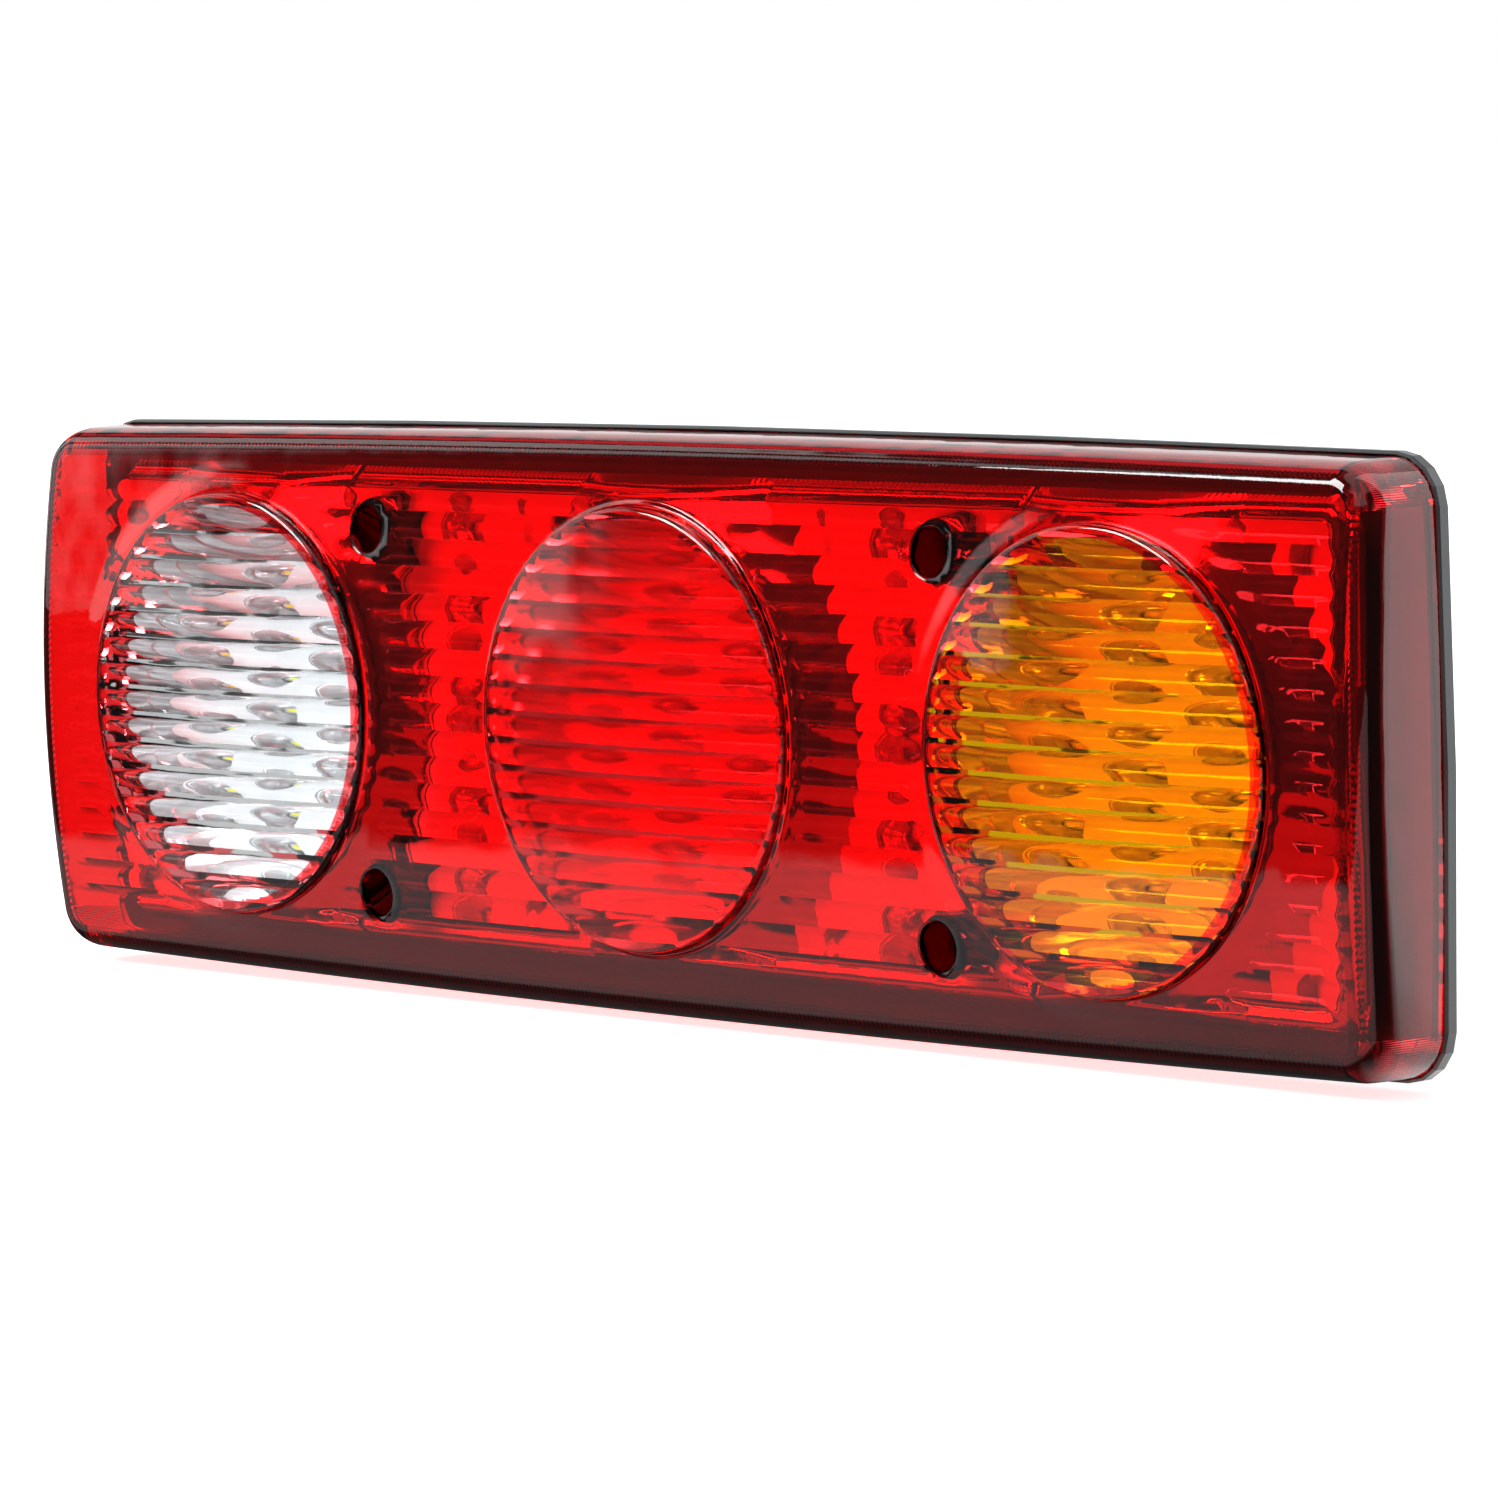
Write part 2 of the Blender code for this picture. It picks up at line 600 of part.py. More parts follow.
def make_reflector(name, chamber, plate_from, plate_to, extra_cups=()):
    """A metallised tray: a conical bowl with seven cups, and the flat field beside it."""
    x = CHAMBERS[chamber]
    screws = BOARD_SCREWS[chamber]
    front, back = REFLECTOR_FACE, REFLECTOR_FACE - PLATE
    crest = front + BOWL_DEPTH
    flare = (BOWL_CREST - BOWL_BASE) / BOWL_DEPTH
    rim = BOWL_CREST + CREST_WIDTH
    skirt = rim + (crest - back) * flare
    skirt_low = back + OFF_PLANE
    bowl = [
        (0, front),
        (BOWL_BASE, front),
        (STEP_RADII[0], front + STEP_RISE),
        (STEP_RADII[1], front + STEP_RISE),
        (BOWL_CREST, crest),
        (rim, crest),
        (skirt, skirt_low),
        (skirt - BOWL_WALL, skirt_low),
        (BOWL_CREST + CREST_WIDTH / 2, crest - BOWL_WALL),
        (BOWL_BASE + PAST, back),
        (0, back),
    ]
    tray = turned(name, bowl, METALLISED, (x, 0, 0), BOWL_ROUND)

    def join(label, mesh, operation="UNION", target=tray):
        return combine(target, add(f"{name}_{label}", mesh, None), operation)

    # The field plate keeps clear of the other bowls and ends inside the wall of its own
    half = (plate_to - plate_from) / 2
    shape = outline(half, TRAY_HALF_HEIGHT, TRAY_CORNER, 2, 2) + [plate_from + half, 0]
    plate = join("plate", loft("plate", [ring_of(shape, back), ring_of(shape, front)]))
    inside_wall = skirt - 0.95 * BOWL_WALL
    through = (BOARD_BACK, DOME_APEX)
    own = rods("own_disc", [(x, 0)], inside_wall, *through, BOWL_ROUND)
    others = [(other, 0) for other in CHAMBERS.values() if other != x]
    join("own_disc", own, "DIFFERENCE", plate)
    join("other_discs", rods("discs", others, FIELD_CUT, *through, BOWL_ROUND), "DIFFERENCE", plate)

    # The raised rim runs round the lamp's end, and is cut where this tray meets its neighbour
    rim_from = plate_from if plate_from > -TRAY_HALF_LENGTH else -LENGTH / 2
    rim_to = plate_to if plate_to < TRAY_HALF_LENGTH else LENGTH / 2
    middle, width = (rim_from + rim_to) / 2, rim_to - rim_from
    raised = join("rim", tray_rim("rim"))
    join("reach", blocks("reach", [(middle, 0)], (width, HEIGHT), back, crest), "INTERSECT", raised)

    places = [*cup_places(x), *extra_cups]
    shell = [(CUP_BASE + CUP_WALL, CUP_FLOOR), (CUP_MOUTH + CUP_WALL, front - PLATE / 3)]
    join("shells", cups("shells", places, shell))
    widening = PAST * (CUP_MOUTH - CUP_BASE) / (front - CUP_FLOOR)
    hollow = [(CUP_BASE - widening, CUP_FLOOR - PAST), (CUP_MOUTH + widening, front + PAST)]
    join("cups", cups("cups", places, hollow), "DIFFERENCE")

    foot_low, foot_high = BOARD_FRONT + GAP, front - PLATE / 6
    join("feet", rods("feet", screws, FOOT_RADIUS, foot_low, foot_high, POST_ROUND))
    join("holes", rods("holes", screws, BOARD_SCREW_HOLE, *through, POST_ROUND), "DIFFERENCE")
    if chamber == "stop":
        reliefs = rods("reliefs", LENS_SCREWS, REFLECTOR_RELIEF, *through)
        join("reliefs", reliefs, "DIFFERENCE")


def make_board(name, chamber, board_from, board_to, half_height, extra_diodes=()):
    """A printed board with its diode packages on the front."""
    middle, width = (board_from + board_to) / 2, board_to - board_from
    slab = blocks(name, [(middle, 0)], (width, 2 * half_height), BOARD_BACK, BOARD_FRONT)
    board = add(name, slab, BOARD_LAMINATE)
    diodes = [*cup_places(CHAMBERS[chamber]), *extra_diodes]
    low, high = BOARD_FRONT - BURY, BOARD_FRONT + DIODE_HEIGHT
    packages = blocks(f"{name}_diodes", diodes, (DIODE, DIODE), low, high)
    combine(board, add(packages.name, packages, None), "UNION")
    low, high = BOARD_BACK - PAST, BOARD_FRONT + PAST
    screws = BOARD_SCREWS[chamber]
    holes = rods(f"{name}_holes", screws, BOARD_SCREW_HOLE, low, high, POST_ROUND)
    combine(board, add(holes.name, holes, None))


def make_board_link(name, start, end):
    """A short insulated lead that loops behind two boards and joins them."""
    curve = bpy.data.curves.new(name, "CURVE")
    curve.dimensions = "3D"
    curve.bevel_depth = LEAD_RADIUS
    curve.bevel_resolution = 1
    curve.use_fill_caps = True
    share = np.linspace(0, 1, 9)
    spline = curve.splines.new("POLY")
    spline.points.add(len(share) - 1)
    top = BOARD_BACK - GAP - LEAD_RADIUS
    for point, t in zip(spline.points, share):
        point.co = (start + t * (end - start), 0, top - LEAD_DIP * math.sin(math.pi * t), 1)
    made = bpy.data.objects.new(name, curve)
    made.parent = stand
    parts.objects.link(made)
    curve.materials.append(WIRE_PVC)


def pan_screw(seat, head, shank, tip):
    """Half the section of a pan-head screw whose head, a (radius, height), sits on seat."""
    radius, height = head
    return [
        (0, seat + height),
        (0.8 * radius, seat + 0.75 * height),
        (radius, seat + 0.15 * height),
        (radius, seat),
        (shank, seat),
        (shank, tip + shank),
        (0, tip),
    ]


def tube_section(outer, inner, low, high):
    """Half the section of a washer or a tube."""
    return [(outer, high), (outer, low), (inner, low), (inner, high)]


def make_lens_fasteners(number, x, y):
    """A pan-head screw down each well, with the sealing washer under its head."""
    low = WELL_FLOOR + GAP
    high = low + SEAL_HEIGHT
    seal = tube_section(SEAL_RADIUS, SEAL_BORE, low, high)
    turned(f"lens_screw_seal_{number}", seal, EPDM, (x, y, 0), SMALL_ROUND)
    screw = pan_screw(high + GAP, LENS_SCREW_HEAD, LENS_SCREW_SHANK, LENS_SCREW_TIP)
    turned(f"lens_screw_{number}", screw, BLACK_STEEL, (x, y, 0), SMALL_ROUND)


def make_board_screw(name, x, y):
    """A small pan-head screw through the reflector and board, into a post of the housing."""
    seat = REFLECTOR_FACE + GAP
    screw = pan_screw(seat, BOARD_SCREW_HEAD, BOARD_SCREW_SHANK, BOARD_SCREW_TIP)
    turned(name, screw, ZINC_STEEL, (x, y, 0), POST_ROUND)


def make_stud(side, x, y):
    """A captive M8 bolt whose shank leaves the back, with washer, spring washer and nut."""
    where = (x, y, 0)
    head_low = STUD_POCKET_FLOOR + GAP
    head_high = head_low + BOLT_HEAD_HEIGHT
    head = rods(f"stud_head_{side}", [(x, y)], HEXAGON, head_low, head_high, HEX)
    stud = add(f"mounting_stud_{side}", head, ZINC_STEEL)
    end = head_low - STUD_LENGTH
    tip_bevel = 0.001
    shank = [
        (0, head_low + PAST),
        (STUD_RADIUS, head_low + PAST),
        (STUD_RADIUS, end + tip_bevel),
        (STUD_RADIUS - tip_bevel, end),
        (0, end),
    ]
    combine(stud, turned(f"stud_shank_{side}", shank, None, where, FASTENER_ROUND), "UNION")

    radius, thickness = FLAT_WASHER
    high = STUD_BOSS_FACE - GAP
    low = high - thickness
    flat = tube_section(radius, STUD_HOLE, low, high)
    turned(f"flat_washer_{side}", flat, ZINC_STEEL, where, FASTENER_ROUND)

    radius, thickness = SPRING_WASHER
    high = low - GAP
    low = high - thickness
    spring = tube_section(radius, STUD_HOLE, low, high)
    spring = turned(f"spring_washer_{side}", spring, ZINC_STEEL, where, FASTENER_ROUND)
    slit_place = (x + (STUD_HOLE + radius) / 2, y)
    slit = blocks(f"spring_slit_{side}", [slit_place], SPRING_SLIT, low - PAST, high + GAP)
    combine(spring, add(slit.name, slit, None))

    high = low - GAP
    low = high - NUT_HEIGHT
    nut = add(f"nut_{side}", rods(f"nut_{side}", [(x, y)], HEXAGON, low, high, HEX), ZINC_STEEL)
    bore_low, bore_high = low - PAST, high + PAST
    bore = rods(f"nut_bore_{side}", [(x, y)], STUD_HOLE, bore_low, bore_high, FASTENER_ROUND)
    combine(nut, add(bore.name, bore, None))


def make_grommet():
    """The rubber cable inlet: a lip inside the tub, a flange outside and a tapered nose."""
    neck = OUTLET_HOLE - GAP
    lip_low = OUTLET_BOSS_TOP + GAP
    lip_high = lip_low + LIP
    flange_top = TUB_BACK - GAP
    profile = [
        (neck + LIP, lip_high),
        (neck + LIP, lip_low),
        (neck, lip_low),
        (neck, flange_top),
        (GROMMET_FLANGE, flange_top),
        (GROMMET_FLANGE, GROMMET_FLANGE_BACK),
        NOSE_ROOT,
        NOSE_TIP,
        (OUTLET_BORE, NOSE_TIP[1]),
        (OUTLET_BORE, lip_high),
    ]
    turned("cable_grommet", profile, EPDM, (OUTLET_X, OUTLET_Y, 0), FASTENER_ROUND)


def make_breather():
    """A soft plug with a low mushroom head on the back of the tub."""
    stem = BREATHER_HOLE - GAP
    barb_width, barb_height = BREATHER_BARB
    head, head_edge = BREATHER_HEAD
    head_top, head_low = TUB_BACK - GAP, BURY
    profile = [
        (0, BREATHER_TOP),
        (stem - barb_width, BREATHER_TOP),
        (stem, BREATHER_TOP - barb_height),
        (stem, head_top),
        (head, head_top),
        (head_edge, head_low),
        (0, head_low),
    ]
    turned("breather_plug", profile, EPDM, (BREATHER_X, BREATHER_Y, 0), SMALL_ROUND)


make_housing()
make_gasket()
make_outer_lens()
make_dome("clear_dome_lens", CLEAR_PMMA, CHAMBERS["reverse"])
make_dome("red_dome_lens", RED_PMMA, CHAMBERS["stop"])
make_dome("amber_dome_lens", AMBER_PMMA, CHAMBERS["indicator"])

SIDE_PLATE = (TRAY_SPLIT + TRAY_SPLIT_GAP, TRAY_HALF_LENGTH)
STOP_PLATE = TRAY_SPLIT - TRAY_SPLIT_GAP
make_reflector("reflector_reverse", "reverse", -SIDE_PLATE[1], -SIDE_PLATE[0])
make_reflector("reflector_stop_tail", "stop", -STOP_PLATE, STOP_PLATE, TAIL_PLACES)
make_reflector("reflector_indicator", "indicator", *SIDE_PLATE)

side_from, side_to, side_half = SIDE_BOARD
stop_to, stop_half = STOP_BOARD
make_board("led_board_reverse", "reverse", -side_to, -side_from, side_half)
make_board("led_board_stop_tail", "stop", -stop_to, stop_to, stop_half, TAIL_PLACES)
make_board("led_board_indicator", "indicator", side_from, side_to, side_half)
make_board_link("board_link_left", -LEAD_ENDS[1], -LEAD_ENDS[0])
make_board_link("board_link_right", LEAD_ENDS[1], LEAD_ENDS[0])

for number, (screw_x, screw_y) in enumerate(LENS_SCREWS, 1):
    make_lens_fasteners(number, screw_x, screw_y)
for chamber, places in BOARD_SCREWS.items():
    for number, (screw_x, screw_y) in enumerate(places, 1):
        make_board_screw(f"board_screw_{chamber}_{number}", screw_x, screw_y)
for side, (stud_x, stud_y) in zip(("left", "right"), STUDS):
    make_stud(side, stud_x, stud_y)
make_grommet()
make_breather()
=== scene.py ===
"""Looks of the trailer rear lamp: a red one-piece lens with three round ribbed optics.

Surfaces are worked out in the lamp's own axes: x along the lamp, y up its height and z out of its
face, from z = 0 on the plane of the vehicle. to_world turns them to the frame's axes. All lengths
are metres.
"""

import math

import bmesh
import bpy
import numpy as np
from mathutils import Matrix, Vector
from mathutils.geometry import delaunay_2d_cdt


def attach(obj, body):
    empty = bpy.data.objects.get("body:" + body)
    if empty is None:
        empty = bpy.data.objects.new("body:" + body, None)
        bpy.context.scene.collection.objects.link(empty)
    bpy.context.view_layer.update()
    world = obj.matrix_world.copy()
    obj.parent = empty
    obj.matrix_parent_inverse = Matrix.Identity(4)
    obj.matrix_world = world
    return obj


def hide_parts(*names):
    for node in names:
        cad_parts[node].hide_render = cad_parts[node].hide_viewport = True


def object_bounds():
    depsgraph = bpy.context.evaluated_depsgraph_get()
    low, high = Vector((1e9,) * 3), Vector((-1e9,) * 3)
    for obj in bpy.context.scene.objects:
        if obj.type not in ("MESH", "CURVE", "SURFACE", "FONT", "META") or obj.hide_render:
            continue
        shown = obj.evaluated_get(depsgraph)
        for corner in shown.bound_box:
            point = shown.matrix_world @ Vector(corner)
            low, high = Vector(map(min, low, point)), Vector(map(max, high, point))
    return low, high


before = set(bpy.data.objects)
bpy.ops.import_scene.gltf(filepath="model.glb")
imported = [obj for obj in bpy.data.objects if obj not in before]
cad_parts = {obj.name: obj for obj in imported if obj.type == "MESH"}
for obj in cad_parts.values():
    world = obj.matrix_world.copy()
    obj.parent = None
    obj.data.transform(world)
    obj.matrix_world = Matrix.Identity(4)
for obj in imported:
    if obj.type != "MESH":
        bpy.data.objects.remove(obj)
cad_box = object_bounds()

# ---------------------------------------------------------------------------------------------
# Sizes of the lamp
# ---------------------------------------------------------------------------------------------
# Outline of the flange, and how far its sides bow outwards
LENGTH = 0.440
HEIGHT = 0.130
CORNER_RADIUS = 0.011
LEAST_RADIUS = 0.002
END_BOW = 0.0015
LONG_BOW = 0.0019

# Lens, from the flange to the top of its crowned face; its skirt stands LENS_STEP in from the
# flange and leans by its draft, and its edge is rounded over ROUNDING_DEPTH of the skirt
FLANGE_FRONT = 0.0175
EDGE_FRONT = 0.037
FACE_CROWN = 0.005
FACE_TOP = EDGE_FRONT + FACE_CROWN
LENS_WALL = 0.0026
LENS_STEP = 0.0010
LENS_DRAFT = math.radians(1.5)
EDGE_ROUNDING = 0.005
ROUNDING_DEPTH = 0.0085
FACE_INSET = 0.0075
FACE_STEP = 0.0026
SKIRT_FLUTE = 0.0001
FILLET_FLUTE = 0.0003
FLUTE_END = 0.0008
INNER_ROUNDING = EDGE_ROUNDING - LENS_WALL
INNER_DEPTH = ROUNDING_DEPTH - LENS_WALL
SKIRT_TOP = EDGE_FRONT - ROUNDING_DEPTH
ROUND_INSET = LENS_STEP + (SKIRT_TOP - FLANGE_FRONT) * math.tan(LENS_DRAFT)
# Painted shade: the rounding takes a darker red from just below it, all but its left end, so that it looks
# dark
EDGE_SHADE_LOW = SKIRT_TOP - 0.0012
EDGE_SHADE_FROM = 0.008 - LENGTH / 2
GAP = 0.0003

# Domes and the collars round them; outside DOME_SEAT the collar's red shows in a dome
DOME_SPACING = 0.144
DOME_RADIUS = 0.050
DOME_RIM = FACE_TOP + 0.0015
DOME_APEX = DOME_RIM + 0.0035
DOME_WALL = 0.0024
DOME_EDGE = 0.0010
DOME_CROWN_SHARE = 0.972
DOME_STEP = 0.0016
DOME_BACK = DOME_RIM - 0.0039
DOME_HOLLOW = 0.0496
DOME_SEAT = 0.0468
COLLAR_FOOT = {"reverse": 0.0578, "stop": 0.0517, "indicator": 0.0578}
COLLAR_SHARE = 0.20
COLLAR_LIP = 0.0004
FACE_LIP = 0.0002
SEAT_GAP = 0.0002

# Ribs inside the domes and, at FACE_RIB_SHARE of their height, inside the face
RIB_COUNT = 15
RIB_PITCH = 2 * 0.047 / RIB_COUNT
RIB_HEIGHT = 0.0012
FACE_RIB_SHARE = 0.7
RIB_END = 0.0508
RIB_FADE = 0.0015
RIB_MARGIN = 0.001

# Wells of the lens screws
LENS_SCREW_X = 0.094
LENS_SCREW_Y = 0.0425
WELL_RADIUS = 0.0055
WELL_LIP = 0.0006
WELL_WALL = 0.0016
WELL_FLOOR = FACE_TOP - 0.0180
WELL_HEAD_LOW = WELL_FLOOR - 0.003
WELL_TUBE = 0.0048
LENS_SCREW_BORE = 0.0023

# Trays: a bowl round each chamber's axis, a cup for each diode and flat fields between
REFLECTOR_FACE = DOME_RIM - 0.0155
BOWL_BASE = 0.038
BOWL_CREST = 0.045
# A bowl's profile: distance from the axis, and height over the trays' face
BOWL_RADII, BOWL_RISES = np.transpose(
    [
        (0, 0),
        (BOWL_BASE, 0),
        (0.0407, 0.0038),
        (0.0417, 0.0038),
        (BOWL_CREST, 0.0078),
        (BOWL_CREST + 0.0016, 0.0078),
        (0.0525, 0.0042),
        (0.0532, 0.0039),
        (0.0595, 0),
    ]
)
# Rings of points that only make the mesh of a bowl finer
BOWL_EXTRA_RINGS = (0.0435, 0.0495, 0.0560)
FIELD_FROM = 0.0602
FIELD_STEP = 0.0035
FIELD_HALF_LENGTH = 0.2010
FIELD_HALF_HEIGHT = 0.0507
FIELD_CORNER = 0.003
# Bevels along the trays' long sides and the right end, cut in fine ridges
BEVEL = 0.0048
BEVEL_STEP = 0.0008
BEVEL_RIDGE = 0.00007
BEVEL_START = 0.08
# Gap between the middle tray and the end ones, wall, and the fold above which an edge stays sharp
TRAY_GAP = 0.0005
TRAY_WALL = 0.0008
TRAY_SHARP_ABOVE = 11
# Cups: seven in each bowl, and smaller ones in the tail lamp's two columns
CUP_FLOOR = REFLECTOR_FACE - 0.0076
CUP_MOUTH = 0.0095
CUP_BASE = 0.0044
CUP_RING = 0.028
TAIL_MOUTH = 0.0074
TAIL_COLUMN = 0.072
TAIL_PITCH = 0.0216
REFLECTOR_RELIEF = WELL_RADIUS + WELL_WALL + 2 * GAP

# Diodes: their top, and the phosphor window on it as (radius, height over the top)
BOARD_FRONT = CUP_FLOOR - 0.0004
DIODE_TOP = BOARD_FRONT + 0.0015
WINDOW = [(0.0, 0.0005), (0.0008, 0.00045), (0.0013, 0.0003), (0.0016, 0.00002)]
WINDOW_SIDES = 20

# Grid steps, which set how fine the surfaces are
OUTLINE_CORNER_STEPS = 52
OUTLINE_LONG_STEPS = 612
OUTLINE_SHORT_STEPS = 132
DOME_SIDES = 256
ROUNDING_ROWS = 10
COLLAR_ROWS = 13
CROWN_ROWS = 38
BOWL_ARC_POINTS = 161
WELL_SIDES = 64
CUP_SIDES = 24
CUP_ROWS = 6

# How near points inside a sheet may come to its edges, and how near points are merged
CLEARANCE = 0.0006
FINE_CLEARANCE = 0.0003
MERGE_DISTANCE = 0.000002

# ---------------------------------------------------------------------------------------------
# Places and strengths of the camera and the light
# ---------------------------------------------------------------------------------------------
# The camera's turns are about Z, X and Y, in radians, from looking along Y
CAMERA_PLACE = (1.2420, -1.1478, 0.1419)
CAMERA_TURNS = (0.8277, -0.0881, 0.0249)
CAMERA_LENS = 179.2
KEY_PLACE = (-0.9, -1.3, 1.5)
KEY_SIZE = 1.1
KEY_POWER = 68

# What matt surfaces get from the room, what gloss sees where it is dark, and the light behind the
# lamp on its left and on its right
FILL = 0.55
ROOM_DARK = 0.06
BACK_LIGHTS = (1.0, 2.6)

# Lights of the room: turn from and to, lowest, highest, strength and softness of the edge. Angles
# are degrees: turn is 0 straight in front of the lamp and grows to its right, height is 0 at level.
ROOM_LIGHTS = [
    (-185, -118, -90, 90, BACK_LIGHTS[0], 4.0),
    (126, 185, -90, 90, BACK_LIGHTS[1], 4.0),
    (-185, 185, 72, 90, 1.0, 4.0),
    (-66, -60, 6, 36, 1.8, 6.0),
    (-64, -55, 0, 14, 1.3, 4.0),
    (10, 120, 50, 75, 0.8, 4.0),
    (30, 75, 26, 55, 1.0, 6.0),
    (-92, -78, -5, 42.4, 1.5, 2.0),
    (-98, -94, -5, 42.4, 1.5, 2.0),
]

# Floor: how far it reaches, and its glow for the camera, least near the lamp and 1 far from it
FLOOR_REACH = 8.0
FLOOR_DROP = 0.0002
FLOOR_GLOW = 0.74
GLOW_NEAR, GLOW_FAR = 0.3, 1.5

# What gloss sees of the floor in front of the lamp: a painted lit strip between two lines, the far one
# along the lamp and the near one slanted, both given as their y at the lamp's middle; nearer the lamp
# it is dark, a painted shadow
STRIP_SHINE = 0.62
STRIP_NEAR, STRIP_FAR = -0.20, -0.048
STRIP_SLANT = 0.25
STRIP_EDGES = (0.03, 0.005)
STRIP_END = 0.5

# What it sees of the floor behind the lamp is painted light, which goes from its left strength
# to its right one over BACK_CHANGE to each side of the middle. It starts along y = 0, softly over
# BACK_EDGE; past x = BACK_TURN that line steps BACK_STEP nearer and then runs back at BACK_SLANT.
BACK_TURN = 0.2
BACK_STEP = 0.045
BACK_STEP_WIDTH = 0.015
BACK_SLANT = 0.73
BACK_EDGE = (-0.01, 0.03)
BACK_CHANGE = 0.1


def mirrored(x, y):
    """The point in all four quadrants."""
    return [(side * x, rise * y) for side in (-1, 1) for rise in (1, -1)]


def cup_places(x):
    """A middle place and six round it on a circle of CUP_RING, at 30 degrees and every 60 on."""
    turns = np.radians(30 + 60 * np.arange(6))
    ring = np.column_stack([x + CUP_RING * np.cos(turns), CUP_RING * np.sin(turns)])
    return [(x, 0.0), *map(tuple, ring)]


CHAMBERS = {"reverse": -DOME_SPACING, "stop": 0.0, "indicator": DOME_SPACING}
TAIL_PLACES = [(side * TAIL_COLUMN, row * TAIL_PITCH) for side in (-1, 1) for row in range(-2, 3)]
LENS_SCREWS = mirrored(LENS_SCREW_X, LENS_SCREW_Y)

# ---------------------------------------------------------------------------------------------
# Camera and light
# ---------------------------------------------------------------------------------------------
scene = bpy.context.scene
scene.view_settings.view_transform = "Standard"

# White, and settings that several nodes share
WHITE = (1, 1, 1, 1)
MULTIPLY = {"operation": "MULTIPLY"}
MULTIPLY_ADD = {"operation": "MULTIPLY_ADD"}
MAXIMUM = {"operation": "MAXIMUM"}
SMOOTH = {"interpolation_type": "SMOOTHSTEP"}
COLOURS = {"data_type": "RGBA"}


def linear(hex_colour, alpha=1.0):
    """An sRGB colour such as #C0FFEE as the linear colour that shaders take."""
    shares = np.array([int(hex_colour[place : place + 2], 16) for place in (1, 3, 5)]) / 255
    curve = np.where(shares <= 0.04045, shares / 12.92, ((shares + 0.055) / 1.055) ** 2.4)
    return (*curve.tolist(), alpha)


def node(tree, kind, settings=(), **inputs):
    """Adds a node with its settings, and gives its sockets a value or a link.

    A socket goes by its name, with _ for a space, or by its number, as i0, i1 and so on.
    """
    made = tree.nodes.new(kind)
    for key, value in dict(settings).items():
        setattr(made, key, value)
    for key, value in inputs.items():
        name = key.replace("_", " ")
        socket = made.inputs[int(name[1:])] if name[0] == "i" and name[1:].isdigit() else made.inputs[name]
        if isinstance(value, bpy.types.NodeSocket):
            tree.links.new(value, socket)
        else:
            socket.default_value = value
    return made


def make_camera():
    """A long lens from the lamp's right, a little above it."""
    data = bpy.data.cameras.new("camera")
    data.sensor_width = 36
    data.lens = CAMERA_LENS
    data.clip_start = 0.05
    data.clip_end = 20
    camera = bpy.data.objects.new("camera", data)
    turn_z, turn_x, turn_y = CAMERA_TURNS
    turn = (
        Matrix.Rotation(turn_z, 4, "Z")
        @ Matrix.Rotation(turn_x, 4, "X")
        @ Matrix.Rotation(turn_y, 4, "Y")
        @ Matrix.Rotation(math.radians(90), 4, "X")
    )
    camera.matrix_world = Matrix.Translation(CAMERA_PLACE) @ turn
    scene.collection.objects.link(camera)
    scene.camera = camera


def make_key_light():
    """A square soft box above the lamp's left front, turned to the lamp."""
    data = bpy.data.lights.new("key", "AREA")
    data.shape = "RECTANGLE"
    data.size = data.size_y = KEY_SIZE
    data.energy = KEY_POWER
    light = bpy.data.objects.new("key", data)
    turn = (-Vector(KEY_PLACE)).to_track_quat("-Z", "Y").to_matrix().to_4x4()
    light.matrix_world = Matrix.Translation(KEY_PLACE) @ turn
    scene.collection.objects.link(light)


def between(tree, value, low, high, edge):
    """1 where the value lies between low and high, falling softly to 0 over edge outside."""
    rise = node(tree, "ShaderNodeMapRange", SMOOTH, Value=value, From_Min=low - edge, From_Max=low)
    fall = node(tree, "ShaderNodeMapRange", SMOOTH, Value=value, From_Min=high + edge, From_Max=high)
    return node(tree, "ShaderNodeMath", MULTIPLY, i0=rise.outputs[0], i1=fall.outputs[0]).outputs[0]


